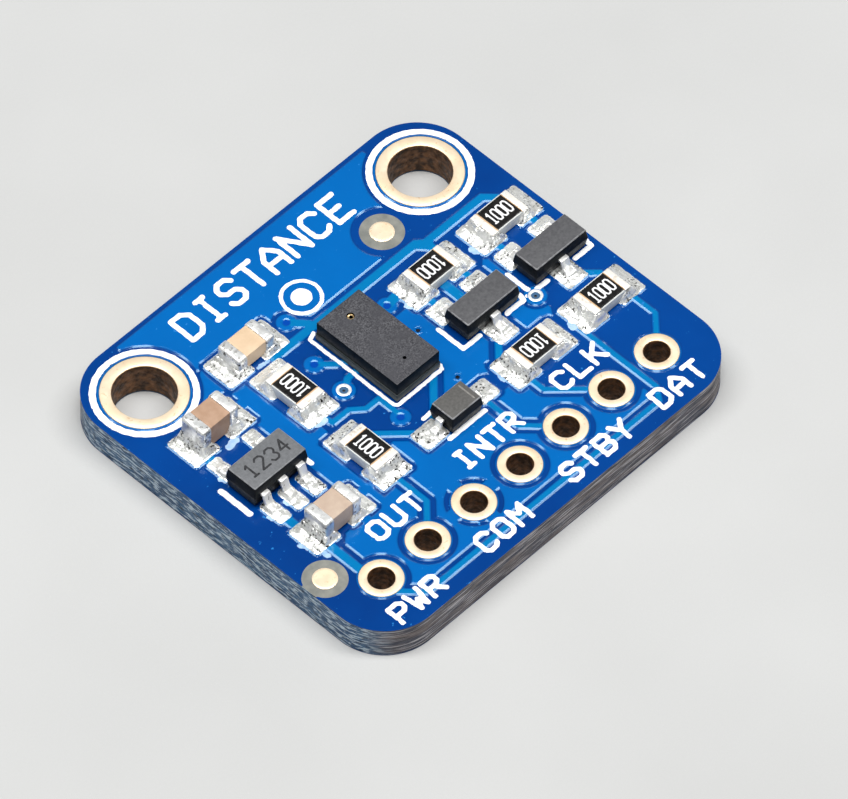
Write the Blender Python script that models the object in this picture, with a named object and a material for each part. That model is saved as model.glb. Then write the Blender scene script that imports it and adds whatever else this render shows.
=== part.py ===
"""A laser distance sensor board: a fibreglass circuit board with one time-of-flight sensor,
a regulator, two transistors, a diode, six chip resistors and three chip capacitors.

Metres, +Z up. The origin is the centre of the underside, +X runs along the row of header
holes, and +Y points from that row to the two mounting holes.
"""

import math

import bmesh
import bpy
from mathutils import Matrix

for leftover in list(bpy.data.objects):
    bpy.data.objects.remove(leftover, do_unlink=True)

MM = 0.001

# Fits
GAP = 0.01 * MM  # between two pieces that touch, also all round a lead in its pocket
CUT_MARGIN = 1.0 * MM  # how far a cutter runs past the face it opens

# Board
BOARD_WIDTH = 20.0 * MM  # along X
BOARD_DEPTH = 17.78 * MM  # along Y
CORNER_RADIUS = 2.4 * MM
CORNER_STEPS = 6
LAMINATE_THICKNESS = 1.55 * MM
MASK_THICKNESS = 0.03 * MM
PAD_THICKNESS = 0.04 * MM  # copper and gold of a plated pad
PLATING_WALL = 0.04 * MM  # copper and gold on a hole's wall

# Mounting holes, each in a back corner
MOUNT_HOLE_RADIUS = 1.28 * MM
MOUNT_RING_WIDTH = 0.47 * MM
MOUNT_SIDE_INSET = 2.38 * MM  # hole's centre to the board's side edge
MOUNT_BACK_INSET = 2.54 * MM  # hole's centre to the board's back edge
MOUNT_STEPS = 28

# Header holes, in one row along the front edge
HEADER_HOLES = 7
HEADER_PITCH = 2.54 * MM
HEADER_HOLE_RADIUS = 0.53 * MM
HEADER_RING_WIDTH = 0.355 * MM
HEADER_FRONT_INSET = 2.54 * MM
HEADER_STEPS = 16

# Range sensor: a flat substrate, a moulded cap with two chambers, and what they hold
SENSOR_WIDTH = 2.4 * MM  # along X
SENSOR_LENGTH = 4.4 * MM  # along Y
SUBSTRATE_HEIGHT = 0.35 * MM
CAP_HEIGHT = 0.64 * MM
CAP_SETBACK = 0.03 * MM  # how far the cap's sides stand in from the substrate's
CAP_WALL = 0.22 * MM
CAP_ROOF = 0.16 * MM
CAP_DIVIDER = 0.3 * MM  # light-tight wall between the two chambers
EMITTER_APERTURE_RADIUS = 0.17 * MM
RECEIVER_APERTURE_RADIUS = 0.08 * MM
APERTURE_STEPS = 12
EMITTER_INSET = 0.7 * MM  # aperture's centre to the cap's back side
RECEIVER_INSET = 0.74 * MM  # aperture's centre to the cap's front side
CHAMBER_SPLIT = 1.45 * MM  # divider's middle to the emitter aperture's centre
EMITTER_DIE_SIDE = 0.3 * MM
EMITTER_DIE_HEIGHT = 0.12 * MM
RECEIVER_DIE_WIDTH = 1.5 * MM
RECEIVER_DIE_HEIGHT = 0.18 * MM
DIE_SIDE_CLEARANCE = 0.15 * MM  # receiver die's ends to its chamber's walls
FILTER_WIDTH = 0.9 * MM
FILTER_HEIGHT = 0.1 * MM

# Moulded packages with bent leads
LEAD_THICKNESS = 0.13 * MM
LEAD_EMBED = 0.2 * MM  # how far a lead runs into its body
LEAD_SHOULDER = 0.1 * MM  # flat stretch just outside the body
LEAD_FOOT = 0.32 * MM
BODY_STANDOFF = 0.06 * MM  # board to the body's underside
BODY_DRAFT = 0.07 * MM  # how far the moulded sides lean in, per half
BODY_EDGE = 0.03 * MM

REGULATOR_LENGTH = 2.9 * MM
REGULATOR_WIDTH = 1.6 * MM
REGULATOR_HEIGHT = 1.1 * MM
REGULATOR_SPAN = 2.8 * MM  # from foot tip to foot tip
REGULATOR_PITCH = 0.95 * MM
REGULATOR_LEAD_WIDTH = 0.38 * MM

TRANSISTOR_LENGTH = 2.9 * MM
TRANSISTOR_WIDTH = 1.3 * MM
TRANSISTOR_HEIGHT = 1.0 * MM
TRANSISTOR_SPAN = 2.4 * MM
TRANSISTOR_PITCH = 0.95 * MM
TRANSISTOR_LEAD_WIDTH = 0.42 * MM

DIODE_LENGTH = 1.7 * MM
DIODE_WIDTH = 1.25 * MM
DIODE_HEIGHT = 0.92 * MM
DIODE_SPAN = 2.6 * MM
DIODE_LEAD_WIDTH = 0.32 * MM

# Chip resistors and capacitors
CHIP_LENGTH = 2.0 * MM
CHIP_WIDTH = 1.25 * MM
RESISTOR_HEIGHT = 0.5 * MM
RESISTOR_TERMINAL_LENGTH = 0.34 * MM
CAPACITOR_TERMINAL_LENGTH = 0.48 * MM
TERMINAL_WALL = 0.04 * MM

# Where each component's centre lies, as shares of the board's half width and half depth
RESISTOR_PLACES = (
    # across, up the board, quarter turns
    (0.420, 0.276, 2),
    (0.800, 0.276, 0),
    (0.422, -0.342, 2),
    (0.798, -0.344, 0),
    (-0.362, 0.246, 1),
    (-0.374, -0.213, 3),
)
CAPACITOR_PLACES = (
    # name, across, up the board, height
    ("sensor_capacitor", -0.354, 0.550, 0.85 * MM),
    ("output_capacitor", -0.720, 0.363, 1.25 * MM),
    ("input_capacitor", -0.693, -0.346, 1.08 * MM),
)
SENSOR_PLACE = (0.003, 0.144)
REGULATOR_PLACE = (-0.720, 0.019)
CLOCK_TRANSISTOR_PLACE = (0.425, -0.026)
DATA_TRANSISTOR_PLACE = (0.807, -0.026)
DIODE_PLACE = (0.0, -0.332)

BOARD_TOP = LAMINATE_THICKNESS + GAP + PAD_THICKNESS
SEAT = BOARD_TOP + GAP  # underside of whatever stands on the board


def finish(name, colour, roughness, metallic=0.0):
    """A plain Principled material."""
    look = bpy.data.materials.new(name)
    look.use_nodes = True
    shader = look.node_tree.nodes["Principled BSDF"]
    shader.inputs["Base Color"].default_value = (*colour, 1.0)
    shader.inputs["Roughness"].default_value = roughness
    shader.inputs["Metallic"].default_value = metallic
    return look


LAMINATE = finish("laminate", (0.30, 0.36, 0.36), 0.55)
MASK = finish("solder_mask", (0.0, 0.13, 0.55), 0.25)
GOLD = finish("gold_plating", (0.83, 0.66, 0.36), 0.25, 1.0)
TIN = finish("tin", (0.72, 0.70, 0.66), 0.35, 1.0)
SENSOR_BLACK = finish("sensor_moulding", (0.045, 0.045, 0.05), 0.7)
SUBSTRATE = finish("sensor_substrate", (0.02, 0.022, 0.022), 0.5)
SILICON = finish("silicon", (0.12, 0.12, 0.14), 0.15, 0.6)
EMITTER_GOLD = finish("emitter_metal", (0.80, 0.55, 0.25), 0.2, 1.0)
FILTER_GLASS = finish("filter_glass", (0.20, 0.02, 0.03), 0.05)
GREY_MOULDING = finish("grey_moulding", (0.10, 0.10, 0.105), 0.55)
BLACK_MOULDING = finish("black_moulding", (0.035, 0.035, 0.038), 0.45)
DIODE_MOULDING = finish("diode_moulding", (0.06, 0.058, 0.055), 0.55)
WHITE_CERAMIC = finish("white_ceramic", (0.62, 0.64, 0.62), 0.5)
TAN_CERAMIC = finish("tan_ceramic", (0.55, 0.36, 0.22), 0.35)


def add_piece(name, shape, look=None, parent=None, origin=(0.0, 0.0, 0.0)):
    """Makes the bmesh into one object, its faces turned outwards."""
    bmesh.ops.recalc_face_normals(shape, faces=shape.faces)
    mesh = bpy.data.meshes.new(name)
    shape.to_mesh(mesh)
    shape.free()
    if look:
        mesh.materials.append(look)
    piece = bpy.data.objects.new(name, mesh)
    piece.location = origin
    piece.parent = parent
    bpy.context.scene.collection.objects.link(piece)
    return piece


def add_anchor(name, place, quarter_turns=0):
    """An empty that carries a component's pieces, on the board at the given shares."""
    anchor = bpy.data.objects.new(name, None)
    anchor.empty_display_size = CHIP_LENGTH
    anchor.location = (place[0] * BOARD_WIDTH / 2, place[1] * BOARD_DEPTH / 2, SEAT)
    anchor.rotation_euler.z = quarter_turns * math.pi / 2
    bpy.context.scene.collection.objects.link(anchor)
    return anchor


def box(shape, size, base):
    """Adds a box of the given size, standing on the point base."""
    centre = (base[0], base[1], base[2] + size[2] / 2)
    place = Matrix.Translation(centre) @ Matrix.Diagonal((*size, 1.0))
    bmesh.ops.create_cube(shape, size=1.0, matrix=place)


def prism(shape, points, low, high):
    """Adds an outline of (x, y) points as a solid from height low to height high."""
    base = shape.faces.new([shape.verts.new((x, y, low)) for x, y in points])
    raised = bmesh.ops.extrude_face_region(shape, geom=[base], use_keep_orig=True)["geom"]
    top = [item for item in raised if isinstance(item, bmesh.types.BMVert)]
    bmesh.ops.translate(shape, verts=top, vec=(0.0, 0.0, high - low))


def strip(points, width):
    """A bmesh of an outline of (y, z) points, centred on X and as wide as given."""
    shape = bmesh.new()
    prism(shape, points, -width / 2, width / 2)
    to_side = Matrix(((0, 0, 1), (1, 0, 0), (0, 1, 0)))
    bmesh.ops.rotate(shape, verts=shape.verts, matrix=to_side)
    return shape


def circle(centre, radius, steps):
    """Points round a circle, counter-clockwise."""
    angles = [2 * math.pi * step / steps for step in range(steps)]
    return [(centre[0] + radius * math.cos(a), centre[1] + radius * math.sin(a)) for a in angles]


def rounded_outline(width, depth, radius):
    """Points round a rectangle with arcs for corners, counter-clockwise."""
    points = []
    for corner in range(4):
        side_x = 1 if corner in (0, 3) else -1
        side_y = 1 if corner in (0, 1) else -1
        for step in range(CORNER_STEPS + 1):
            angle = (corner + step / CORNER_STEPS) * math.pi / 2
            points.append((
                side_x * (width / 2 - radius) + radius * math.cos(angle),
                side_y * (depth / 2 - radius) + radius * math.sin(angle),
            ))
    return points


def turned(profile, steps):
    """A bmesh of a closed outline of (radius, height) points, turned round the Z axis."""
    shape = bmesh.new()
    rings = []
    for step in range(steps):
        angle = 2 * math.pi * step / steps
        rings.append([
            shape.verts.new((radius * math.cos(angle), radius * math.sin(angle), height))
            for radius, height in profile
        ])
    for step, ring in enumerate(rings):
        following = rings[(step + 1) % steps]
        for low in range(len(profile)):
            high = (low + 1) % len(profile)
            shape.faces.new((ring[low], ring[high], following[high], following[low]))
    return shape


def cut(piece, name, shape):
    """Takes the bmesh's solids out of the piece. The cutter stays out of the render."""
    cutter = add_piece(f"{piece.name}_{name}_cutter", shape, None, piece.parent, piece.location)
    cutter.hide_render = True
    cutter.display_type = "WIRE"
    modifier = piece.modifiers.new(name, "BOOLEAN")
    modifier.operation = "DIFFERENCE"
    modifier.solver = "EXACT"
    modifier.object = cutter


def shade_round(piece):
    """Smooth shading on the round walls, sharp where faces meet at an angle."""
    piece.data.shade_smooth()
    piece.data.set_sharp_from_angle(angle=math.radians(40))


def board_holes():
    """Each hole of the board as (name, centre, hole radius, pad radius, steps)."""
    mount_x = BOARD_WIDTH / 2 - MOUNT_SIDE_INSET
    mount_y = BOARD_DEPTH / 2 - MOUNT_BACK_INSET
    header_y = HEADER_FRONT_INSET - BOARD_DEPTH / 2
    mount_pad = MOUNT_HOLE_RADIUS + MOUNT_RING_WIDTH
    header_pad = HEADER_HOLE_RADIUS + HEADER_RING_WIDTH
    holes = []
    for side, x in (("left", -mount_x), ("right", mount_x)):
        name = f"mount_hole_plating_{side}"
        holes.append((name, (x, mount_y), MOUNT_HOLE_RADIUS, mount_pad, MOUNT_STEPS))
    for number in range(HEADER_HOLES):
        x = (number - (HEADER_HOLES - 1) / 2) * HEADER_PITCH
        name = f"header_hole_plating_{number + 1}"
        holes.append((name, (x, header_y), HEADER_HOLE_RADIUS, header_pad, HEADER_STEPS))
    return holes


def build_laminate():
    """The bare board. Each hole clears its plating, and the lower pads lie in shallow recesses."""
    shape = bmesh.new()
    outline = rounded_outline(BOARD_WIDTH, BOARD_DEPTH, CORNER_RADIUS)
    prism(shape, outline, 0.0, LAMINATE_THICKNESS)
    board = add_piece("board_laminate", shape, LAMINATE)
    bores = bmesh.new()
    recesses = bmesh.new()
    for _, centre, radius, pad, steps in board_holes():
        bore = circle(centre, radius + PLATING_WALL + GAP, steps)
        prism(bores, bore, -CUT_MARGIN, LAMINATE_THICKNESS + CUT_MARGIN)
        recess = circle(centre, pad + GAP, steps)
        prism(recesses, recess, -CUT_MARGIN, PAD_THICKNESS + 2 * GAP)
    cut(board, "bores", bores)
    cut(board, "recesses", recesses)


def build_mask():
    """The lacquer on the top face, open round each plated pad."""
    shape = bmesh.new()
    outline = rounded_outline(BOARD_WIDTH, BOARD_DEPTH, CORNER_RADIUS)
    low = LAMINATE_THICKNESS + GAP
    prism(shape, outline, low, low + MASK_THICKNESS)
    mask = add_piece("solder_mask_top", shape, MASK)
    windows = bmesh.new()
    for _, centre, _, pad, steps in board_holes():
        prism(windows, circle(centre, pad + GAP, steps), low - CUT_MARGIN, low + CUT_MARGIN)
    cut(mask, "windows", windows)


def build_platings():
    """Each hole's copper and gold: a barrel with a ring pad on either face."""
    low = GAP
    high = BOARD_TOP
    for name, centre, radius, pad, steps in board_holes():
        wall = radius + PLATING_WALL
        outline = (
            (radius, low), (pad, low), (pad, low + PAD_THICKNESS), (wall, low + PAD_THICKNESS),
            (wall, high - PAD_THICKNESS), (pad, high - PAD_THICKNESS), (pad, high), (radius, high),
        )
        plating = add_piece(name, turned(outline, steps), GOLD, origin=(*centre, 0.0))
        shade_round(plating)


def build_sensor():
    """The range sensor: its cap's two chambers open downwards, onto the dies on the substrate."""
    anchor = add_anchor("range_sensor", SENSOR_PLACE)
    substrate = bmesh.new()
    box(substrate, (SENSOR_WIDTH, SENSOR_LENGTH, SUBSTRATE_HEIGHT), (0.0, 0.0, 0.0))
    add_piece("sensor_substrate", substrate, SUBSTRATE, anchor)

    cap_base = SUBSTRATE_HEIGHT + GAP
    cap_width = SENSOR_WIDTH - 2 * CAP_SETBACK
    cap_length = SENSOR_LENGTH - 2 * CAP_SETBACK
    shell = bmesh.new()
    box(shell, (cap_width, cap_length, CAP_HEIGHT), (0.0, 0.0, cap_base))
    cap = add_piece("sensor_cap", shell, SENSOR_BLACK, anchor)

    back = cap_length / 2 - CAP_WALL
    front = -back
    emitter_y = cap_length / 2 - EMITTER_INSET
    receiver_y = RECEIVER_INSET - cap_length / 2
    divider = emitter_y - CHAMBER_SPLIT
    chamber_width = cap_width - 2 * CAP_WALL
    roof = cap_base + CAP_HEIGHT - CAP_ROOF
    chambers = bmesh.new()
    for near, far in ((front, divider - CAP_DIVIDER / 2), (divider + CAP_DIVIDER / 2, back)):
        size = (chamber_width, far - near, roof - cap_base + CUT_MARGIN)
        box(chambers, size, (0.0, (near + far) / 2, cap_base - CUT_MARGIN))
    cut(cap, "chambers", chambers)
    apertures = bmesh.new()
    roof_inside = roof - CAP_ROOF
    for y, radius in ((emitter_y, EMITTER_APERTURE_RADIUS), (receiver_y, RECEIVER_APERTURE_RADIUS)):
        prism(apertures, circle((0.0, y), radius, APERTURE_STEPS), roof_inside, roof + CUT_MARGIN)
    cut(cap, "apertures", apertures)

    emitter = bmesh.new()
    box(emitter, (EMITTER_DIE_SIDE, EMITTER_DIE_SIDE, EMITTER_DIE_HEIGHT), (0.0, emitter_y, cap_base))
    add_piece("emitter_die", emitter, EMITTER_GOLD, anchor)
    die_front = front + DIE_SIDE_CLEARANCE
    die_back = divider - CAP_DIVIDER / 2 - DIE_SIDE_CLEARANCE
    receiver = bmesh.new()
    die_size = (RECEIVER_DIE_WIDTH, die_back - die_front, RECEIVER_DIE_HEIGHT)
    box(receiver, die_size, (0.0, (die_front + die_back) / 2, cap_base))
    add_piece("receiver_die", receiver, SILICON, anchor)
    glass = bmesh.new()
    filter_base = cap_base + RECEIVER_DIE_HEIGHT + GAP
    box(glass, (FILTER_WIDTH, FILTER_WIDTH, FILTER_HEIGHT), (0.0, receiver_y, filter_base))
    add_piece("receiver_filter", glass, FILTER_GLASS, anchor)


def moulded_body(name, anchor, look, length, width, height):
    """A moulded body whose sides lean in above and below the height where the leads leave."""
    middle = (BODY_STANDOFF + height) / 2
    shape = bmesh.new()
    rings = []
    for level, lean in ((BODY_STANDOFF, BODY_DRAFT), (middle, 0.0), (height, BODY_DRAFT)):
        x = length / 2 - lean
        y = width / 2 - lean
        corners = ((x, y), (-x, y), (-x, -y), (x, -y))
        rings.append([shape.verts.new((*corner, level)) for corner in corners])
    for lower, upper in zip(rings, rings[1:]):
        for side in range(4):
            following = (side + 1) % 4
            shape.faces.new((lower[side], lower[following], upper[following], upper[side]))
    shape.faces.new(rings[0])
    shape.faces.new(rings[-1])
    body = add_piece(name, shape, look, anchor)
    edges = body.modifiers.new("edges", "BEVEL")
    edges.width = BODY_EDGE
    edges.segments = 1
    edges.limit_method = "ANGLE"
    edges.angle_limit = math.radians(50)
    return body


def bent_outline(path, thickness):
    """The outline of a strip of metal that follows the path's middle line of (y, z) points."""
    sides = ([], [])
    for index, (y, z) in enumerate(path):
        before = path[max(index - 1, 0)]
        after = path[min(index + 1, len(path) - 1)]
        into = math.atan2(z - before[1], y - before[0]) if index else None
        out = math.atan2(after[1] - z, after[0] - y) if index < len(path) - 1 else into
        into = out if into is None else into
        mitre = (into + out) / 2 + math.pi / 2
        reach = thickness / 2 / math.cos((out - into) / 2)
        for side, sign in zip(sides, (1, -1)):
            side.append((y + sign * reach * math.cos(mitre), z + sign * reach * math.sin(mitre)))
    return sides[0] + sides[1][::-1]


def leaded_package(name, anchor, look, size, span, lead_width, leads):
    """A moulded body with bent leads. Each lead is a side, +1 or -1 along Y, and a place along X."""
    length, width, height = size
    body = moulded_body(f"{name}_body", anchor, look, length, width, height)
    exit_height = (BODY_STANDOFF + height) / 2
    foot_height = LEAD_THICKNESS / 2
    wall = width / 2
    path = (
        (wall - LEAD_EMBED, exit_height),
        (wall + LEAD_SHOULDER, exit_height),
        (span / 2 - LEAD_FOOT, foot_height),
        (span / 2, foot_height),
    )
    outline = bent_outline(path, LEAD_THICKNESS)
    pockets = bmesh.new()
    pocket_depth = LEAD_EMBED + GAP + CUT_MARGIN
    pocket_size = (lead_width + 2 * GAP, pocket_depth, LEAD_THICKNESS + 2 * GAP)
    pocket_base = exit_height - pocket_size[2] / 2
    for number, (side, along) in enumerate(leads, start=1):
        lead = add_piece(f"{name}_lead_{number}", strip(outline, lead_width), TIN, anchor)
        lead.location.x = along
        lead.rotation_euler.z = 0.0 if side > 0 else math.pi
        pocket_y = side * (wall - LEAD_EMBED - GAP + pocket_depth / 2)
        box(pockets, pocket_size, (along, pocket_y, pocket_base))
    cut(body, "pockets", pockets)


def build_packages():
    """The regulator, the two transistors and the diode."""
    pitch = REGULATOR_PITCH
    leaded_package(
        "regulator", add_anchor("regulator", REGULATOR_PLACE), GREY_MOULDING,
        (REGULATOR_LENGTH, REGULATOR_WIDTH, REGULATOR_HEIGHT), REGULATOR_SPAN, REGULATOR_LEAD_WIDTH,
        ((-1, -pitch), (-1, 0.0), (-1, pitch), (1, pitch), (1, -pitch)),
    )
    pitch = TRANSISTOR_PITCH
    for name, place in (
        ("clock_transistor", CLOCK_TRANSISTOR_PLACE),
        ("data_transistor", DATA_TRANSISTOR_PLACE),
    ):
        leaded_package(
            name, add_anchor(name, place), BLACK_MOULDING,
            (TRANSISTOR_LENGTH, TRANSISTOR_WIDTH, TRANSISTOR_HEIGHT),
            TRANSISTOR_SPAN, TRANSISTOR_LEAD_WIDTH,
            ((-1, 0.0), (1, pitch), (1, -pitch)),
        )
    leaded_package(
        "shutdown_diode", add_anchor("shutdown_diode", DIODE_PLACE, 1), DIODE_MOULDING,
        (DIODE_WIDTH, DIODE_LENGTH, DIODE_HEIGHT), DIODE_SPAN, DIODE_LEAD_WIDTH,
        ((1, 0.0), (-1, 0.0)),
    )


def build_resistor(name, place, quarter_turns):
    """A ceramic block, thinner at its ends where two bent terminals wrap over and under it."""
    anchor = add_anchor(name, place, quarter_turns)
    half = CHIP_LENGTH / 2
    shoulder = half - RESISTOR_TERMINAL_LENGTH - GAP
    end = half - TERMINAL_WALL - GAP
    step = TERMINAL_WALL + GAP
    top = RESISTOR_HEIGHT
    ceramic = strip((
        (-end, step), (-shoulder, step), (-shoulder, 0.0), (shoulder, 0.0), (shoulder, step), (end, step),
        (end, top - step), (shoulder, top - step), (shoulder, top),
        (-shoulder, top), (-shoulder, top - step), (-end, top - step),
    ), CHIP_WIDTH)
    quarter = Matrix.Rotation(math.pi / 2, 3, "Z")
    bmesh.ops.rotate(ceramic, verts=ceramic.verts, matrix=quarter)
    add_piece(f"{name}_ceramic", ceramic, WHITE_CERAMIC, anchor)
    inner = half - RESISTOR_TERMINAL_LENGTH
    wall = half - TERMINAL_WALL
    clip = (
        (inner, 0.0), (half, 0.0), (half, top), (inner, top),
        (inner, top - TERMINAL_WALL), (wall, top - TERMINAL_WALL),
        (wall, TERMINAL_WALL), (inner, TERMINAL_WALL),
    )
    for side, turn in (("right", -1), ("left", 1)):
        terminal = add_piece(f"{name}_terminal_{side}", strip(clip, CHIP_WIDTH), TIN, anchor)
        terminal.rotation_euler.z = turn * math.pi / 2


def build_capacitor(name, place, height):
    """A ceramic block in two end terminals, each a cup open towards the middle."""
    anchor = add_anchor(name, place)
    half = CHIP_LENGTH / 2
    step = TERMINAL_WALL + GAP
    ceramic = bmesh.new()
    ceramic_size = (CHIP_LENGTH - 2 * step, CHIP_WIDTH - 2 * step, height - 2 * step)
    box(ceramic, ceramic_size, (0.0, 0.0, step))
    add_piece(f"{name}_ceramic", ceramic, TAN_CERAMIC, anchor)
    for side, sign in (("right", 1), ("left", -1)):
        cup = bmesh.new()
        middle = half - CAPACITOR_TERMINAL_LENGTH / 2
        box(cup, (CAPACITOR_TERMINAL_LENGTH, CHIP_WIDTH, height), (sign * middle, 0.0, 0.0))
        mouth = min(cup.faces, key=lambda face: sign * face.calc_center_median().x)
        bmesh.ops.delete(cup, geom=[mouth], context="FACES_ONLY")
        terminal = add_piece(f"{name}_terminal_{side}", cup, TIN, anchor)
        wall = terminal.modifiers.new("wall", "SOLIDIFY")
        wall.thickness = TERMINAL_WALL
        wall.offset = -1.0


build_laminate()
build_mask()
build_platings()
build_sensor()
build_packages()
for number, (across, along, quarter_turns) in enumerate(RESISTOR_PLACES, start=1):
    build_resistor(f"resistor_{number}", (across, along), quarter_turns)
for capacitor, across, along, height in CAPACITOR_PLACES:
    build_capacitor(capacitor, (across, along), height)
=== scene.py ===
"""A laser distance sensor on its small printed board, put together in the order it is made.

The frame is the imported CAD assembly: laminate, plated holes, sensor, chips and leads, in metres, Z up.
"""
import math

import bmesh
import bpy
import numpy as np
from mathutils import Matrix, Vector


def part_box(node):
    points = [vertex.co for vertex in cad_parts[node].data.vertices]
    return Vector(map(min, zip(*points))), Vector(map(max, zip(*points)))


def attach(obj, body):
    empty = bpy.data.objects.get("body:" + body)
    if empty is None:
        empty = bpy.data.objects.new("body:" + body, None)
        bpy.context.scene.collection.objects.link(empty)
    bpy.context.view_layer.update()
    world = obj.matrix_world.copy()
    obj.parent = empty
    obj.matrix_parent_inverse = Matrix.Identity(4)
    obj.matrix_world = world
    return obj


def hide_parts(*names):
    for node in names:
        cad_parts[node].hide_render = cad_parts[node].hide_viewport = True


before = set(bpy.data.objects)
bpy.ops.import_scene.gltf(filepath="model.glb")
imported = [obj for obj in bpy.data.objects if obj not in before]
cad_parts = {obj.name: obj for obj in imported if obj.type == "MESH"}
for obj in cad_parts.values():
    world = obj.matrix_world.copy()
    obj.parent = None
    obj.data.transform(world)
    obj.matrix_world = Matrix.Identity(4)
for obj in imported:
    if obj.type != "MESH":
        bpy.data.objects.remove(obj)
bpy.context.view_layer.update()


# The studio. The board lies on a pale paper sweep under a long strip box and a small square one, both hung
# level, with a dim panel beside the camera. The camera looks down over the board's front left corner.
MM = 0.001
CAMERA_DISTANCE = 466.2 * MM
CAMERA_AIM = Vector((-0.345, -1.563, 1.6)) * MM
CAMERA_TURN = math.radians(-46.557)
CAMERA_ELEVATION = math.radians(52.46)
CAMERA_ROLL = math.radians(0.785)
STRIP_SIZE = (0.86, 0.13)
STRIP_PLACE = (0.01, -0.004, 0.5)
STRIP_POWER = 3.7
SQUARE_SIZE = (0.16, 0.16)
SQUARE_PLACE = (-0.09, -0.10, 0.5)
SQUARE_POWER = 0.8
PANEL_SIZE = (0.45, 0.45)
PANEL_PLACE = (-0.37, -0.33, 0.34)
PANEL_POWER = 0.35
SKY_COLOUR = (0.85, 0.93, 1.0, 1.0)
SKY_STRENGTH = 0.11
LENS_LENGTH = 514.95
FILM_WIDTH = 36.0
SWEEP_HALF = 0.6


def node(material, kind, inputs=None, **settings):
    """Adds a shader node. An input given as a socket is linked, and any other value is set on it."""
    made = material.node_tree.nodes.new(kind)
    for name, value in settings.items():
        setattr(made, name, value)
    for name, value in (inputs or {}).items():
        if isinstance(value, bpy.types.NodeSocket):
            material.node_tree.links.new(value, made.inputs[name])
        else:
            made.inputs[name].default_value = value
    return made


def place(material):
    """The piece's own coordinates, in metres, so a noise scale of 1000 is one blotch a millimetre."""
    return node(material, "ShaderNodeTexCoord").outputs["Object"]


def stretched(material, source, scale):
    mapping = node(material, "ShaderNodeMapping", {"Vector": source})
    mapping.inputs["Scale"].default_value = scale
    return mapping.outputs["Vector"]


def mottle(material, per_mm, low, high, source=None, detail=4.0, roughness=0.55):
    """A noise mask that rises from 0 to 1 between two levels of the noise."""
    settings = {"Vector": source or place(material), "Scale": per_mm / MM, "Detail": detail}
    noise = node(material, "ShaderNodeTexNoise", {**settings, "Roughness": roughness})
    limits = {"Value": noise.outputs["Fac"], "From Min": low, "From Max": high}
    return node(material, "ShaderNodeMapRange", limits).outputs["Result"]


def between(material, mask, first, second):
    """A colour that goes from the first to the second where the mask goes from 0 to 1."""
    mix = node(material, "ShaderNodeMix", {"Factor": mask}, data_type="RGBA")
    ends = {"A": first, "B": second}
    for socket in mix.inputs:
        if socket.type == "RGBA":
            value = ends[socket.name]
            if isinstance(value, bpy.types.NodeSocket):
                material.node_tree.links.new(value, socket)
            else:
                socket.default_value = (*value, 1.0)
    return mix.outputs[2]


def level(material, mask, low, high):
    """A number that goes from low to high with the mask."""
    limits = {"Value": mask, "To Min": low, "To Max": high}
    return node(material, "ShaderNodeMapRange", limits).outputs["Result"]


def bump(material, height, depth_mm, under=None):
    """A bump of this depth where the mask is 1, on top of any bump already there."""
    inputs = {"Height": height, "Distance": depth_mm * MM, "Strength": 1.0}
    if under:
        inputs["Normal"] = under
    return node(material, "ShaderNodeBump", inputs).outputs["Normal"]


def blotched(per_mm, low, high, first, second):
    """A colour that drifts from the first to the second in blotches of this scale."""
    return lambda material: between(material, mottle(material, per_mm, low, high), first, second)


def rough(per_mm, low, high):
    """A roughness that drifts from low to high."""
    return lambda material: level(material, mottle(material, per_mm, 0.3, 0.7), low, high)


def grain(per_mm, depth_mm):
    """A fine relief of this scale and depth."""
    return lambda material: bump(material, mottle(material, per_mm, 0.3, 0.7), depth_mm)


def finish_material(name, **sockets):
    """A Principled material whose sockets take a number, a colour or a linked mask."""
    material = bpy.data.materials.new(name)
    material.use_nodes = True
    shader = material.node_tree.nodes["Principled BSDF"]
    for socket, value in sockets.items():
        target = shader.inputs[socket.replace("_", " ")]
        if callable(value):
            value = value(material)
        if isinstance(value, bpy.types.NodeSocket):
            material.node_tree.links.new(value, target)
        elif isinstance(value, tuple):
            target.default_value = (*value, 1.0)
        else:
            target.default_value = value
    return material


paper = finish_material(
    "paper sweep",
    Base_Color=blotched(0.05, 0.35, 0.65, (0.50, 0.50, 0.49), (0.54, 0.54, 0.53)),
    Roughness=rough(0.4, 0.75, 0.9),
    Normal=grain(6.0, 0.004),
)
sweep_shape = bmesh.new()
bmesh.ops.create_grid(sweep_shape, x_segments=8, y_segments=8, size=SWEEP_HALF)
sweep_mesh = bpy.data.meshes.new("paper_sweep")
sweep_shape.to_mesh(sweep_mesh)
sweep_shape.free()
sweep_mesh.materials.append(paper)
sweep = bpy.data.objects.new("paper_sweep", sweep_mesh)
sweep.location.z = -0.01 * MM
bpy.context.scene.collection.objects.link(sweep)


def soft_light(name, size, spot, power):
    """A soft box that faces the board from this spot, its long side across the camera's line."""
    lamp = bpy.data.lights.new(name, "AREA")
    lamp.shape = "RECTANGLE"
    lamp.size, lamp.size_y = size
    lamp.energy = power
    holder = bpy.data.objects.new(name, lamp)
    holder.location = spot
    sideways = math.hypot(spot[0], spot[1])
    lean = math.atan2(sideways, spot[2]) if sideways > 0.2 else 0.0
    holder.rotation_euler = (lean, 0.0, math.radians(-45))
    bpy.context.scene.collection.objects.link(holder)


soft_light("strip_box", STRIP_SIZE, STRIP_PLACE, STRIP_POWER)
soft_light("square_box", SQUARE_SIZE, SQUARE_PLACE, SQUARE_POWER)
soft_light("camera_panel", PANEL_SIZE, PANEL_PLACE, PANEL_POWER)
world = bpy.data.worlds.new("studio")
world.use_nodes = True
world.node_tree.nodes["Background"].inputs["Color"].default_value = SKY_COLOUR
world.node_tree.nodes["Background"].inputs["Strength"].default_value = SKY_STRENGTH
bpy.context.scene.world = world
bpy.context.scene.view_settings.view_transform = "Standard"

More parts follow.
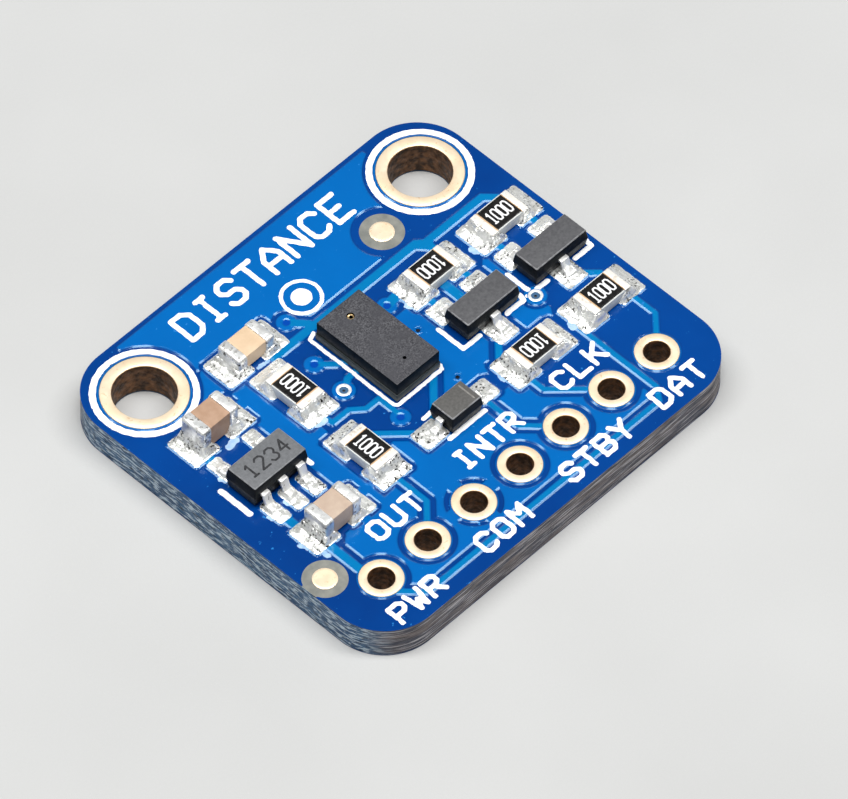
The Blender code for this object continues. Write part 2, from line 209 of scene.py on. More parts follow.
lens = bpy.data.cameras.new("camera")
lens.lens = LENS_LENGTH
lens.sensor_width = FILM_WIDTH
camera = bpy.data.objects.new("camera", lens)
tilt = math.pi / 2 - CAMERA_ELEVATION
turn = Matrix.Rotation(CAMERA_TURN, 4, "Z") @ Matrix.Rotation(tilt, 4, "X")
turn = turn @ Matrix.Rotation(CAMERA_ROLL, 4, "Z")
camera.matrix_world = Matrix.Translation(CAMERA_AIM + turn.to_3x3().col[2] * CAMERA_DISTANCE) @ turn
bpy.context.scene.collection.objects.link(camera)
bpy.context.scene.camera = camera


# The laminate. A 1.6 mm woven glass and epoxy board, routed to a rounded rectangle, whose cut edge
# shows the glass plies as pale broken streaks. The copper and lacquer skins lie on both its faces.
BOARD_HALF_WIDTH = 10.0
BOARD_HALF_DEPTH = 8.89
CORNER_RADIUS = 2.4
PIN_ROW = -6.35  # how far forward of the board's middle the row of pin holes stands
BOARD_MIDDLE = -PIN_ROW
LAMINATE_TOP = 1.55
PIN_PITCH = 2.54
PIN_HOLES = [((n - 3) * PIN_PITCH, 0.0) for n in range(7)]
SCREW_HOLES = [(-7.62, 12.7), (7.62, 12.7)]
PIN_HOLE_RADIUS = 0.53
PIN_PAD_RADIUS = 0.885
SCREW_HOLE_RADIUS = 1.28
SCREW_PAD_RADIUS = 1.75
LAMINATE_FOOT = 0.02
EDGE_STEP = 0.11
EDGE_LEVELS = 12
HOLE_STEPS = 48
ROUTER_WAVE = 0.011


def add_piece(name, mesh, material, stands_for=(), sharp=38.0):
    """Links a mesh as a piece of the board's one body, smooth but for edges sharper than this angle."""
    for one in material if isinstance(material, (list, tuple)) else (material,):
        mesh.materials.append(one)
    mesh.polygons.foreach_set("use_smooth", [True] * len(mesh.polygons))
    mesh.set_sharp_from_angle(angle=math.radians(sharp))
    piece = bpy.data.objects.new(name, mesh)
    bpy.context.scene.collection.objects.link(piece)
    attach(piece, "root")
    if stands_for:
        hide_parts(*stands_for)
    return piece


def mesh_of(name, shape):
    mesh = bpy.data.meshes.new(name)
    shape.normal_update()
    shape.to_mesh(mesh)
    shape.free()
    return mesh


def add_mask(mesh, name, values):
    """Stores a number at each vertex, for a material to read by this name."""
    mesh.attributes.new(name, "FLOAT", "POINT").data.foreach_set("value", values.astype(np.float32))


def board_rim():
    """Points round the routed edge, each with its outward direction and its distance along the edge."""
    corners = []
    straight_x = BOARD_HALF_WIDTH - CORNER_RADIUS
    straight_y = BOARD_HALF_DEPTH - CORNER_RADIUS
    for quarter, (x, y) in enumerate(((1, 1), (-1, 1), (-1, -1), (1, -1))):
        for step in range(33):
            angle = (quarter + step / 32) * math.pi / 2
            out = (math.cos(angle), math.sin(angle))
            corners.append(
                (x * straight_x + CORNER_RADIUS * out[0], y * straight_y + CORNER_RADIUS * out[1], out)
            )
    rim = []
    along = 0.0
    for (x, y, out), (next_x, next_y, next_out) in zip(corners, corners[1:] + corners[:1]):
        length = math.hypot(next_x - x, next_y - y)
        steps = max(1, round(length / EDGE_STEP))
        for step in range(steps):
            share = step / steps
            mixed = Vector(out).lerp(Vector(next_out), share).normalized()
            rim.append((x + (next_x - x) * share, y + (next_y - y) * share, mixed, along + length * share))
        along += length
    return rim


def ply_wave(along, height):
    """How far the routed edge stands out, in mm: glass bundles that run along the edge, ply by ply."""
    ply = math.sin(height * 22.0 + 0.6 * math.sin(along * 1.1))
    bundle = math.sin(along * 2.9 + 5.0 * math.sin(height * 9.0)) + math.sin(along * 7.3 + height * 31.0)
    return ROUTER_WAVE * (0.5 * ply + 0.25 * bundle)


laminate_shape = bmesh.new()
edge_map = laminate_shape.loops.layers.uv.new("edge")
rim = board_rim()
rings = []
for ring_level in range(EDGE_LEVELS + 1):
    height = LAMINATE_FOOT + (LAMINATE_TOP - LAMINATE_FOOT) * ring_level / EDGE_LEVELS
    ring = []
    for x, y, out, along in rim:
        stand = ply_wave(along, height) - ROUTER_WAVE
        point = ((x + out[0] * stand) * MM, (y + out[1] * stand) * MM, height * MM)
        ring.append((laminate_shape.verts.new(point), along, height))
    rings.append(ring)
for lower, upper in zip(rings, rings[1:]):
    for index in range(len(rim)):
        after = (index + 1) % len(rim)
        corners = (lower[index], lower[after], upper[after], upper[index])
        face = laminate_shape.faces.new([corner[0] for corner in corners])
        for loop, (_, along, height) in zip(face.loops, corners):
            wrapped = along + (rim[-1][3] + EDGE_STEP if after == 0 and along == 0.0 else 0.0)
            loop[edge_map].uv = (wrapped, height)
holes = [(hole, PIN_HOLE_RADIUS) for hole in PIN_HOLES]
holes += [(hole, SCREW_HOLE_RADIUS) for hole in SCREW_HOLES]
for ring, flip in ((rings[0], True), (rings[-1], False)):
    edges = [laminate_shape.edges.get((a[0], b[0])) for a, b in zip(ring, ring[1:] + ring[:1])]
    for (x, across), radius in holes:
        circle = []
        for step in range(HOLE_STEPS):
            angle = step * math.tau / HOLE_STEPS
            point = (x + radius * math.cos(angle), across + PIN_ROW + radius * math.sin(angle), ring[0][2])
            circle.append(laminate_shape.verts.new(Vector(point) * MM))
        edges += [laminate_shape.edges.new(pair) for pair in zip(circle, circle[1:] + circle[:1])]
    filled = bmesh.ops.triangle_fill(laminate_shape, edges=edges, use_beauty=True, use_dissolve=False)
    flat = [face for face in filled["geom"] if isinstance(face, bmesh.types.BMFace)]
    for face in flat:
        face.normal_update()
        if (face.normal.z > 0) == flip:
            face.normal_flip()


def glass_streaks(material, along_mm, across_mm, low, high, detail=3.0):
    """Streaks that run along the cut edge, on the map of distance along the edge against height."""
    source = node(material, "ShaderNodeUVMap", uv_map="edge").outputs["UV"]
    source = stretched(material, source, (along_mm * MM, across_mm * MM, MM))
    return mottle(material, 1.0, low, high, source, detail)


def attribute_mask(material, name, low, high):
    """A mask that steps from 0 to 1 as the named distance passes between two values, in mm."""
    source = node(material, "ShaderNodeAttribute", attribute_name=name).outputs["Fac"]
    limits = {"Value": source, "From Min": low, "From Max": high}
    return node(material, "ShaderNodeMapRange", limits).outputs["Result"]


def edge_colour(material):
    """Short bundle ends in blue resin on the side edges, and long brown-grey threads at front and back."""
    def streaked(along_mm, across_mm, low, high, first, second):
        return between(material, glass_streaks(material, along_mm, across_mm, low, high), first, second)

    ends = streaked(0.6, 3.0, 0.35, 0.7, (0.016, 0.065, 0.155), (0.07, 0.165, 0.285))
    ends = streaked(2.3, 11.0, 0.54, 0.62, ends, (0.012, 0.02, 0.035))
    ends = streaked(2.0, 10.0, 0.51, 0.58, ends, (0.46, 0.56, 0.64))
    threads = streaked(0.4, 4.0, 0.4, 0.65, (0.045, 0.05, 0.075), (0.16, 0.13, 0.125))
    threads = streaked(0.45, 16.0, 0.56, 0.64, threads, (0.015, 0.015, 0.02))
    threads = streaked(0.5, 15.0, 0.53, 0.62, threads, (0.50, 0.48, 0.50))
    return between(material, attribute_mask(material, "warp", 0.4, 0.8), ends, threads)


laminate_finish = finish_material(
    "glass laminate",
    Base_Color=edge_colour,
    Roughness=lambda m: level(m, glass_streaks(m, 1.3, 9.0, 0.4, 0.65), 0.35, 0.75),
    Specular_IOR_Level=0.4,
    Normal=lambda m: bump(m, glass_streaks(m, 1.5, 12.0, 0.3, 0.7), 0.02),
)
laminate = mesh_of("laminate", laminate_shape)
places = np.array([vertex.co for vertex in laminate.vertices]) / MM
straight = BOARD_HALF_DEPTH - CORNER_RADIUS
warp = np.clip((np.abs(places[:, 1]) - straight) / CORNER_RADIUS, 0, 1)
add_mask(laminate, "warp", warp)
add_piece("laminate", laminate, laminate_finish, ["board_laminate"])


# The copper foil under its blue lacquer. Tracks, pads and a flooded ground area are etched in 35 micron
# foil, and the lacquer flows over them, so each copper edge shows as a low slope in the coat.
FOIL_STEP = 0.042
BARE_TOP = 1.556
SLOPE_OUTSIDE = 0.19
SLOPE_INSIDE = 0.09
TRACK_GAP = 0.31
PAD_GAP = 0.23
PIN_GAP = 0.30
VIA_GAP = 0.28
PIN_OPENING = PIN_PAD_RADIUS + 0.015
SCREW_OPENING = SCREW_PAD_RADIUS + 0.02
PIN_COPPER = PIN_PAD_RADIUS + 0.02
GROUND_PIN = 2
SCREW_COPPER = SCREW_PAD_RADIUS + 0.06
SCREW_KEEPOUT = 2.32
MARK_KEEPOUT = 1.28
MARKS = [(4.44, 11.69), (-9.13, 1.52)]
MARK_OPENING = 0.9
MARK_DOT = 0.5
OPEN_VIAS = [(-2.17, 7.31), (6.33, 5.24)]
SMALL_VIAS = [(1.93, 7.31), (1.36, 4.64)]
FILLED_VIAS = [(-1.36, 11.2), (-2.07, 9.0), (1.95, 9.0), (-1.57, 4.85)]
VIA_COPPER = 0.37
OPEN_VIA_COPPER = 0.42
PAD_RIM = 0.02  # how far the foil of a pad runs on under the lacquer
PAD_CORNER = 0.05
SPOKE_REACH = 0.45
# Solder pads: left, right, front and back, forward and back being measured from the row of pin holes.
PADS = {
    "sensor_capacitor": ((-5.12, -3.87, 10.45, 11.98), (-3.2, -1.95, 10.45, 11.98)),
    "output_capacitor": ((-8.78, -7.5, 8.73, 10.3), (-6.87, -5.55, 8.73, 10.3)),
    "input_capacitor": ((-8.53, -7.25, 2.51, 4.03), (-6.6, -5.3, 2.51, 4.03)),
    "resistor_1": ((2.6, 3.85, 8.02, 9.6), (4.6, 5.85, 8.02, 9.6)),
    "resistor_2": ((6.4, 7.65, 8.02, 9.6), (8.4, 9.65, 8.02, 9.6)),
    "resistor_3": ((2.6, 3.85, 2.51, 4.11), (4.6, 5.85, 2.51, 4.11)),
    "resistor_4": ((6.36, 7.61, 2.51, 4.11), (8.36, 9.6, 2.51, 4.11)),
    "resistor_5": ((-4.43, -2.81, 6.93, 8.15), (-4.43, -2.81, 8.93, 10.17)),
    "resistor_6": ((-4.55, -3.0, 2.85, 4.05), (-4.55, -3.0, 4.85, 6.08)),
    "regulator": (
        (-8.45, -7.87, 4.53, 5.65), (-7.5, -6.92, 4.53, 5.65), (-6.55, -5.97, 4.53, 5.65),
        (-8.45, -7.87, 7.4, 8.5), (-6.55, -5.97, 7.4, 8.5),
    ),
    "clock_transistor": ((2.76, 3.78, 6.75, 7.7), (4.62, 5.66, 6.75, 7.7), (3.66, 4.67, 4.52, 5.7)),
    "data_transistor": ((6.56, 7.6, 6.75, 7.7), (8.47, 9.48, 6.75, 7.7), (7.5, 8.5, 4.52, 5.7)),
    "shutdown_diode": ((-1.97, -0.8, 2.98, 3.93), (1.1, 1.98, 2.98, 3.9)),
}
# Tracks, each with half its width and the points it passes.
TRACKS = (
    (0.165, ((-7.885, 2.7), (-7.885, 0.3))),
    (0.10, ((6.38, 3.2), (6.38, -1.15), (5.95, -1.7), (-6.85, -1.7), (-7.7, -0.8), (-7.62, 0.0))),
    (0.10, ((-3.77, 2.9), (-3.77, 1.33), (-4.5, 0.6), (-5.08, 0.0))),
    (0.10, ((1.3, 3.3), (1.3, 1.33), (1.95, 0.65), (2.54, 0.0))),
    (0.10, ((3.25, 2.7), (3.25, 1.85), (4.45, 0.65), (5.08, 0.0))),
    (0.09, ((8.96, 2.7), (8.96, 1.35), (8.35, 0.72), (7.62, 0.0))),
    (0.10, ((-3.66, 7.1), (-3.6, 6.52), (-2.72, 6.52), (-2.2, 6.07), (-1.5, 6.07), (-1.52, 5.0))),
    (0.11, ((-3.0, 5.15), (-1.8, 3.98), (-1.4, 3.6))),
    (0.13, ((0.95, 5.55), (-0.45, 4.15), (-1.1, 3.6))),
    (0.12, ((3.95, 4.95), (3.15, 4.15), (3.0, 3.8))),
    (0.12, ((8.3, 4.85), (8.9, 4.25), (8.9, 3.8))),
    (0.19, ((4.26, 8.3), (4.26, 6.0))),
    (0.13, ((3.32, 8.4), (3.32, 7.4))),
    (0.13, ((5.22, 8.4), (5.22, 7.4))),
    (0.13, ((7.12, 8.4), (7.12, 7.4))),
    (0.13, ((8.99, 8.4), (8.99, 7.4))),
    (0.12, ((-2.07, 9.0), (-1.45, 8.38), (-1.1, 8.2))),
    (0.12, ((-2.17, 7.31), (-1.62, 7.62), (-1.1, 7.62))),
    (0.20, ((1.95, 9.0), (2.8, 9.1))),
    (0.16, ((-1.36, 11.2), (-0.8, 10.55))),
    (0.22, ((-8.17, 8.9), (-8.17, 8.3))),
    (0.17, ((-8.12, 4.7), (-8.12, 3.9))),
)
# Spokes that join ground pads to the flooded copper.
SPOKES = (
    (0.20, ((-5.75, 9.62), (-5.0, 9.62))),
    (0.20, ((-5.5, 3.38), (-4.9, 3.38))),
    (0.17, ((-6.0, 2.7), (-6.0, 2.0))),
    (0.26, ((-3.9, 0.1), (-1.2, 0.1))),
    (0.26, ((-2.54, -1.25), (-2.54, 1.4))),
)
POURS = (
    (
        (-7.36, -1.3), (5.72, -1.3), (5.95, -1.1), (5.95, -0.9), (5.08, -0.9), (5.08, 0.0), (4.45, 0.65),
        (3.25, 1.85), (3.25, 2.3), (2.42, 2.5), (2.42, 2.88), (-2.15, 2.88), (-2.15, 3.8), (-2.55, 4.2),
        (-2.72, 4.2), (-2.72, 2.9), (-4.4, 2.6), (-6.3, 2.45), (-7.05, 2.42), (-7.36, 2.12),
    ),
    (
        (-5.66, 1.8), (-4.8, 1.8), (-4.8, 6.2), (-4.6, 6.36), (-4.08, 6.36), (-4.08, 6.93), (-4.66, 6.93),
        (-4.66, 10.22), (-5.3, 10.22), (-5.3, 8.8), (-5.66, 8.45),
    ),
    (
        (-0.43, 4.17), (2.05, 4.17), (2.3, 3.98), (2.47, 4.15), (2.47, 4.4), (2.92, 4.4), (3.5, 5.0),
        (3.5, 5.42), (2.5, 5.42), (2.5, 7.95), (2.35, 8.35), (0.95, 8.35), (0.95, 5.55),
    ),
    (
        (5.0, 4.42), (5.78, 4.42), (6.1, 4.17), (6.3, 4.45), (6.3, 5.9), (6.35, 7.75), (6.2, 7.9),
        (6.02, 7.75), (6.02, 5.9), (5.0, 5.9),
    ),
    (
        (-5.35, 12.0), (-3.5, 12.0), (-1.5, 11.2), (-0.75, 10.82), (3.45, 10.82), (4.44, 11.69),
        (5.45, 12.75), (5.45, 13.3), (7.0, 13.3), (6.72, 14.99), (-6.78, 14.99), (-7.0, 13.0),
    ),
    ((-6.7, 10.62), (-5.42, 10.62), (-5.42, 11.5), (-5.36, 11.85), (-6.3, 11.2)),
)
SUPPLY_STRIP = (
    (-3.1, 10.17), (4.72, 10.17), (5.05, 9.8), (5.05, 9.3), (5.4, 9.3), (5.4, 9.9), (5.48, 9.95),
    (8.33, 9.95), (8.75, 9.5), (9.15, 9.5), (8.45, 10.25), (5.28, 10.25), (4.97, 10.5), (-2.2, 10.5),
    (-2.2, 10.7), (-3.1, 10.7),
)


def disc_field(x, v, centre, radius):
    """How far inside the disc each point is, in mm, and below zero outside it."""
    return radius - np.hypot(x - centre[0], v - centre[1])


def box_field(x, v, left, right, front, back, corner=0.0):
    """How far inside the rounded rectangle each point is."""
    across = np.abs(x - (left + right) / 2) - (right - left) / 2 + corner
    along = np.abs(v - (front + back) / 2) - (back - front) / 2 + corner
    outside = np.hypot(np.maximum(across, 0), np.maximum(along, 0))
    return corner - outside - np.minimum(np.maximum(across, along), 0)


def path_field(x, v, points, half_width):
    """How far inside a stroke with round ends each point is."""
    nearest = np.full(np.shape(x), np.inf)
    for (ax, av), (bx, bv) in zip(points, points[1:]):
        length = (bx - ax) ** 2 + (bv - av) ** 2
        share = np.clip(((x - ax) * (bx - ax) + (v - av) * (bv - av)) / max(length, 1e-9), 0, 1)
        nearest = np.minimum(nearest, np.hypot(x - ax - share * (bx - ax), v - av - share * (bv - av)))
    return half_width - nearest


def area_field(x, v, corners):
    """How far inside the polygon each point is."""
    inside = np.zeros(np.shape(x), bool)
    for (ax, av), (bx, bv) in zip(corners, corners[1:] + corners[:1]):
        if av != bv:
            crosses = (av > v) != (bv > v)
            inside ^= crosses & (x < (bx - ax) * (v - av) / (bv - av) + ax)
    depth = -path_field(x, v, corners + corners[:1], 0.0)
    return np.where(inside, depth, -depth)


def board_field(x, v):
    front = BOARD_MIDDLE - BOARD_HALF_DEPTH
    back = BOARD_MIDDLE + BOARD_HALF_DEPTH
    return box_field(x, v, -BOARD_HALF_WIDTH, BOARD_HALF_WIDTH, front, back, CORNER_RADIUS)


def widest(fields):
    return np.maximum.reduce(list(fields))


def discs_field(x, v, centres, radius):
    """How far inside the nearest of some equal discs each point is."""
    return widest(disc_field(x, v, centre, radius) for centre in centres)


def strokes_field(x, v, strokes):
    """How far inside the nearest stroke each point is, each given as half its width and its points."""
    return widest(path_field(x, v, points, half) for half, points in strokes)


def copper_field(x, v):
    """How far inside the copper each point is, and the same for the tracks and pads alone."""
    tracks = strokes_field(x, v, TRACKS)
    pins = widest(disc_field(x, v, hole, PIN_COPPER) for n, hole in enumerate(PIN_HOLES) if n != GROUND_PIN)
    vias = discs_field(x, v, FILLED_VIAS, VIA_COPPER)
    vias = np.maximum(vias, discs_field(x, v, OPEN_VIAS, OPEN_VIA_COPPER))
    pads = widest(
        box_field(x, v, left - PAD_RIM, right + PAD_RIM, front - PAD_RIM, back + PAD_RIM, PAD_CORNER)
        for group in PADS.values() for left, right, front, back in group
    )
    ground_pin = disc_field(x, v, PIN_HOLES[GROUND_PIN], PIN_COPPER)
    screws = discs_field(x, v, SCREW_HOLES, SCREW_COPPER)
    strip = area_field(x, v, SUPPLY_STRIP)
    marks = discs_field(x, v, MARKS, MARK_DOT)
    spokes = strokes_field(x, v, SPOKES)
    flood = widest(area_field(x, v, corners) for corners in POURS)
    gaps = widest((
        tracks + TRACK_GAP, strip + TRACK_GAP, pins + PIN_GAP, ground_pin + PIN_GAP,
        vias + VIA_GAP, pads + PAD_GAP,
        discs_field(x, v, SCREW_HOLES, SCREW_KEEPOUT), discs_field(x, v, MARKS, MARK_KEEPOUT),
    ))
    joined = np.minimum(spokes, np.maximum(ground_pin, pads) + SPOKE_REACH)
    flood = np.maximum(np.minimum(flood, -gaps), joined)
    etched = widest((tracks, strip, vias, pins, pads, ground_pin, screws, marks))
    return np.maximum(flood, etched), np.maximum(tracks, strip)


def smooth_step(value, low, high):
    share = np.clip((value - low) / (high - low), 0, 1)
    return share * share * (3 - 2 * share)


VIA_DIP_RADIUS = 0.24
VIA_DIP_DEPTH = 0.035
VIA_DIP_SLOPE = 0.12
VIA_LIP_RADIUS = 0.17
VIA_LIP_WIDTH = 0.07
VIA_LIP_RISE = 0.028
VIA_BORE_RADIUS = 0.13
VIA_BORE_DEPTH = 0.04
VIA_BORE_SLOPE = 0.06
VIA_WINDOW = 0.43
SMALL_VIA_WINDOW = 0.20
VIA_SHADE = 0.19
COAT_RIPPLE = 0.0012


def lacquer_top(x, v):
    """The height of the lacquer, in mm. It stands a step higher over the foil, and dips into the vias."""
    copper, _ = copper_field(x, v)
    top = BARE_TOP + FOIL_STEP * smooth_step(copper, -SLOPE_OUTSIDE, SLOPE_INSIDE)
    for via in FILLED_VIAS:
        top = top - VIA_DIP_DEPTH * smooth_step(disc_field(x, v, via, VIA_DIP_RADIUS), 0.0, VIA_DIP_SLOPE)
    for via in SMALL_VIAS:
        lip = VIA_LIP_WIDTH - np.abs(np.hypot(x - via[0], v - via[1]) - VIA_LIP_RADIUS)
        top = top + VIA_LIP_RISE * smooth_step(lip, 0.0, VIA_LIP_WIDTH)
        bore = disc_field(x, v, via, VIA_BORE_RADIUS)
        top = top - VIA_BORE_DEPTH * smooth_step(bore, 0.0, VIA_BORE_SLOPE)
    ripple = np.sin(x * 1.7 + 1.3 * np.sin(v * 1.1)) * np.sin(v * 1.9 + 0.8 * np.sin(x * 0.9))
    return top + COAT_RIPPLE * ripple


def skin(name, inside, height, span, pitch, skirt, facing=1):
    """A coat over the area where inside(x, v) is above zero. It is a square grid whose rim vertices are
    drawn onto the outline, at height(x, v), with a skirt that closes its edge down to the board."""
    left, right, front, back = span
    columns = max(2, round((right - left) / pitch))
    rows = max(2, round((back - front) / pitch))
    x, v = np.meshgrid(np.linspace(left, right, columns + 1), np.linspace(front, back, rows + 1))
    depth = inside(x, v)
    step = max((right - left) / columns, (back - front) / rows)
    slope_v, slope_x = np.gradient(depth, v[:, 0], x[0])
    steep = np.maximum(slope_x**2 + slope_v**2, 0.3)
    rim_points = np.abs(depth) < 0.5 * step
    x = np.where(rim_points, x - depth * slope_x / steep, x)
    v = np.where(rim_points, v - depth * slope_v / steep, v)
    kept = rim_points | (depth > 0)
    index = np.arange(kept.size).reshape(kept.shape)
    cells = np.stack([index[:-1, :-1], index[:-1, 1:], index[1:, 1:], index[1:, :-1]], -1).reshape(-1, 4)
    held = kept.reshape(-1)[cells]
    within = np.where(held, depth.reshape(-1)[cells], 0).sum(1) > 0
    quads = cells[(held.sum(1) == 4) & within]
    threes = cells[(held.sum(1) == 3) & within]
    lost = np.argmin(kept.reshape(-1)[threes], 1)
    triangles = np.stack([threes[np.arange(len(threes)), (lost + n) % 4] for n in (1, 2, 3)], -1)
    faces = [tuple(face) for face in quads.tolist()] + [tuple(face) for face in triangles.tolist()]
    if facing < 0:
        faces = [face[::-1] for face in faces]
    used = sorted({corner for face in faces for corner in face})
    renumbered = {old: new for new, old in enumerate(used)}
    faces = [tuple(renumbered[corner] for corner in face) for face in faces]
    x = x.reshape(-1)[used]
    v = v.reshape(-1)[used]
    z = height(x, v)
    directed = {(a, b) for face in faces for a, b in zip(face, face[1:] + face[:1])}
    edge = [(a, b) for a, b in directed if (b, a) not in directed]
    rim_corners = sorted({corner for pair in edge for corner in pair})
    below = {corner: len(used) + n for n, corner in enumerate(rim_corners)}
    faces += [(b, a, below[a], below[b]) for a, b in edge]
    x = np.append(x, x[rim_corners])
    v = np.append(v, v[rim_corners])
    z = np.append(z, z[rim_corners] - skirt * facing)
    mesh = bpy.data.meshes.new(name)
    mesh.from_pydata(np.stack([x, v + PIN_ROW, z], -1) * MM, [], faces)
    mesh.validate()
    return mesh, x, v


def span_round(points, margin):
    """The left, right, front and back of the area that holds these points, with a margin round it."""
    across, along = zip(*points)
    return min(across) - margin, max(across) + margin, min(along) - margin, max(along) + margin


def plated_openings(x, v):
    """How far inside the windows round the plated holes each point is."""
    pins = discs_field(x, v, PIN_HOLES, PIN_OPENING)
    return np.maximum(pins, discs_field(x, v, SCREW_HOLES, SCREW_OPENING))


def lacquer_area(x, v):
    """The lacquer leaves out the pad round each plated hole, the placing marks and the vias."""
    openings = widest((
        plated_openings(x, v), discs_field(x, v, MARKS, MARK_OPENING),
        discs_field(x, v, OPEN_VIAS + FILLED_VIAS, VIA_WINDOW),
        discs_field(x, v, SMALL_VIAS, SMALL_VIA_WINDOW),
    ))
    return np.minimum(board_field(x, v), -openings)


def lacquer_colour(material):
    bare = between(material, mottle(material, 0.16, 0.35, 0.65), (0.0, 0.036, 0.205), (0.0, 0.050, 0.26))
    flooded = between(material, mottle(material, 0.25, 0.3, 0.7), (0.0, 0.110, 0.395), (0.0, 0.128, 0.44))
    foil = between(material, attribute_mask(material, "track", -0.02, 0.01), flooded, (0.0, 0.17, 0.42))
    # Just outside each copper edge the bare blue turns to the flooded blue: partly the lacquer thinning
    # over the foil, partly a painted tint that turns the edge highlight azure.
    thinned_and_sheen = between(material, attribute_mask(material, "copper", -0.06, -0.03), bare, (0.0, 0.11, 0.40))
    coloured = between(material, attribute_mask(material, "copper", -0.02, 0.012), thinned_and_sheen, foil)
    # Over each filled via the dimple is painted a darker blue as shade.
    dimple_shade = between(material, attribute_mask(material, "dip", 0.0, 0.06), coloured, (0.0, 0.055, 0.36))
    dust = mottle(material, 4.0, 0.70, 0.73, detail=3.0)
    return between(material, dust, dimple_shade, (0.02, 0.20, 0.55))


def lacquer_normal(material):
    """The coat breaks over a copper edge in one fine fold, and is almost flat everywhere else."""
    fold = bump(material, attribute_mask(material, "copper", -0.095, 0.0), 0.031)
    return bump(material, mottle(material, 9.0, 0.3, 0.7), 0.0006, fold)


lacquer_finish = finish_material(
    "blue lacquer",
    Base_Color=lacquer_colour,
    Roughness=rough(1.2, 0.10, 0.17),
    Specular_IOR_Level=0.7,
    Specular_Tint=(0.60, 0.90, 1.0),
    Normal=lacquer_normal,
)
whole_board = (-10.0, 10.0, BOARD_MIDDLE - BOARD_HALF_DEPTH, BOARD_MIDDLE + BOARD_HALF_DEPTH)


def add_lacquer(name, inside, height, span, pitch, skirt, stands_for=()):
    """A piece of the coat, with its distances from the copper's edge stored for the colour to follow."""
    mesh, x, v = skin(name, inside, height, span, pitch, skirt)
    copper, track = copper_field(x, v)
    add_mask(mesh, "copper", copper)
    add_mask(mesh, "track", track)
    add_mask(mesh, "dip", discs_field(x, v, FILLED_VIAS, VIA_SHADE))
    return add_piece(name, mesh, lacquer_finish, stands_for)


def via_coat(name, via, radius, opening):
    """The coat where it thins over a via, on a finer grid than the rest."""
    add_lacquer(
        name,
        lambda x, v: np.minimum(disc_field(x, v, via, radius - 0.02), -disc_field(x, v, via, opening)),
        lambda x, v: lacquer_top(x, v) + 0.001,
        span_round([via], radius), 0.024, 0.01,
    )


add_lacquer("lacquer_top", lacquer_area, lacquer_top, whole_board, 0.0625, 0.03, ["solder_mask_top"])
for kind, vias, radius, opening in (
    ("filled_via", FILLED_VIAS, 0.50, -1.0), ("open_via", OPEN_VIAS, 0.50, 0.30),
    ("small_via_coat", SMALL_VIAS, 0.27, 0.085),
):
    for number, via in enumerate(vias, start=1):
        via_coat(f"{kind}_{number}", via, radius, opening)


# The lacquer under the board. The same two coats: a ground plane that the pin pads stand clear of, with
# the row's tracks crossing it. It is one skin that faces down, with the plated rings through it.
UNDERSIDE_TRACKS = [(0.12, points) for points in (
    ((-7.62, 0.0), (-7.62, 3.2), (-5.4, 5.4), (-5.4, 9.2)),
    ((-5.08, 0.0), (-5.08, 2.0), (-2.17, 4.9), (-2.17, 7.31)),
    ((0.0, 0.0), (0.0, 3.4), (-1.57, 4.85)),
    ((2.54, 0.0), (2.54, 2.9), (1.93, 3.5), (1.93, 7.31)),
    ((5.08, 0.0), (6.33, 1.3), (6.33, 5.24)),
    ((7.62, 0.0), (8.6, 1.0), (8.6, 6.4), (6.0, 9.0), (1.95, 9.0)),
)]
PLANE_MARGIN = 0.4
PLANE_GAP = 0.3
UNDERSIDE_BARE = 0.016
UNDERSIDE_STEP = 0.014


def underside_copper(x, v):
    etched = widest((
        strokes_field(x, v, UNDERSIDE_TRACKS),
        discs_field(x, v, PIN_HOLES, PIN_COPPER), discs_field(x, v, SCREW_HOLES, SCREW_COPPER),
    ))
    return np.maximum(np.minimum(board_field(x, v) - PLANE_MARGIN, -etched - PLANE_GAP), etched)


def underside_bottom(x, v):
    step = smooth_step(underside_copper(x, v), -SLOPE_OUTSIDE, SLOPE_INSIDE)
    return UNDERSIDE_BARE - UNDERSIDE_STEP * step


under_mesh, skin_x, skin_v = skin(
    "lacquer_under", lambda x, v: np.minimum(board_field(x, v), -plated_openings(x, v)),
    underside_bottom, whole_board, 0.125, 0.02, facing=-1,
)
add_mask(under_mesh, "copper", underside_copper(skin_x, skin_v))
add_mask(under_mesh, "track", np.full(len(skin_x), -1.0))
add_mask(under_mesh, "dip", np.full(len(skin_x), -1.0))
add_piece("lacquer_under", under_mesh, lacquer_finish)


# The plated holes. Each is a drilled hole with a copper barrel and a flat ring on both faces, all in soft
# gold over nickel. Its inside is rough from the drill, and its dark brown is painted shade down the bore.
RING_TOP = 1.606
RING_FOOT = 0.004
RING_STEPS = 96
BORE_LEVELS = 14
DRILL_WAVE = 0.006
LIP = 0.05


def gold_colour(material):
    tone = between(material, mottle(material, 1.1, 0.35, 0.65), (1.0, 0.78, 0.53), (1.0, 0.84, 0.62))
    return between(material, mottle(material, 7.0, 0.62, 0.72), tone, (0.86, 0.58, 0.32))


gold_finish = finish_material(
    "gold plating",
    Base_Color=gold_colour,
    Metallic=0.4,
    Roughness=rough(3.0, 0.36, 0.52),
    Normal=grain(14.0, 0.0012),
)
# The bore's dark brown is painted shade.
bore_shade_finish = finish_material(
    "drilled barrel, dark as shade",
    Base_Color=blotched(3.5, 0.4, 0.66, (0.042, 0.019, 0.007), (0.23, 0.105, 0.042)),
    Metallic=0.5,
    Roughness=rough(5.0, 0.35, 0.7),
    Normal=grain(5.0, 0.02),
)
# The lip where the ring turns down into the bore is orange-brown.
lip_finish = finish_material(
    "orange-brown lip",
    Base_Color=blotched(4.0, 0.35, 0.65, (0.62, 0.30, 0.11), (0.80, 0.50, 0.25)),
    Metallic=0.6,
    Roughness=rough(5.0, 0.3, 0.5),
    Normal=grain(9.0, 0.004),
)


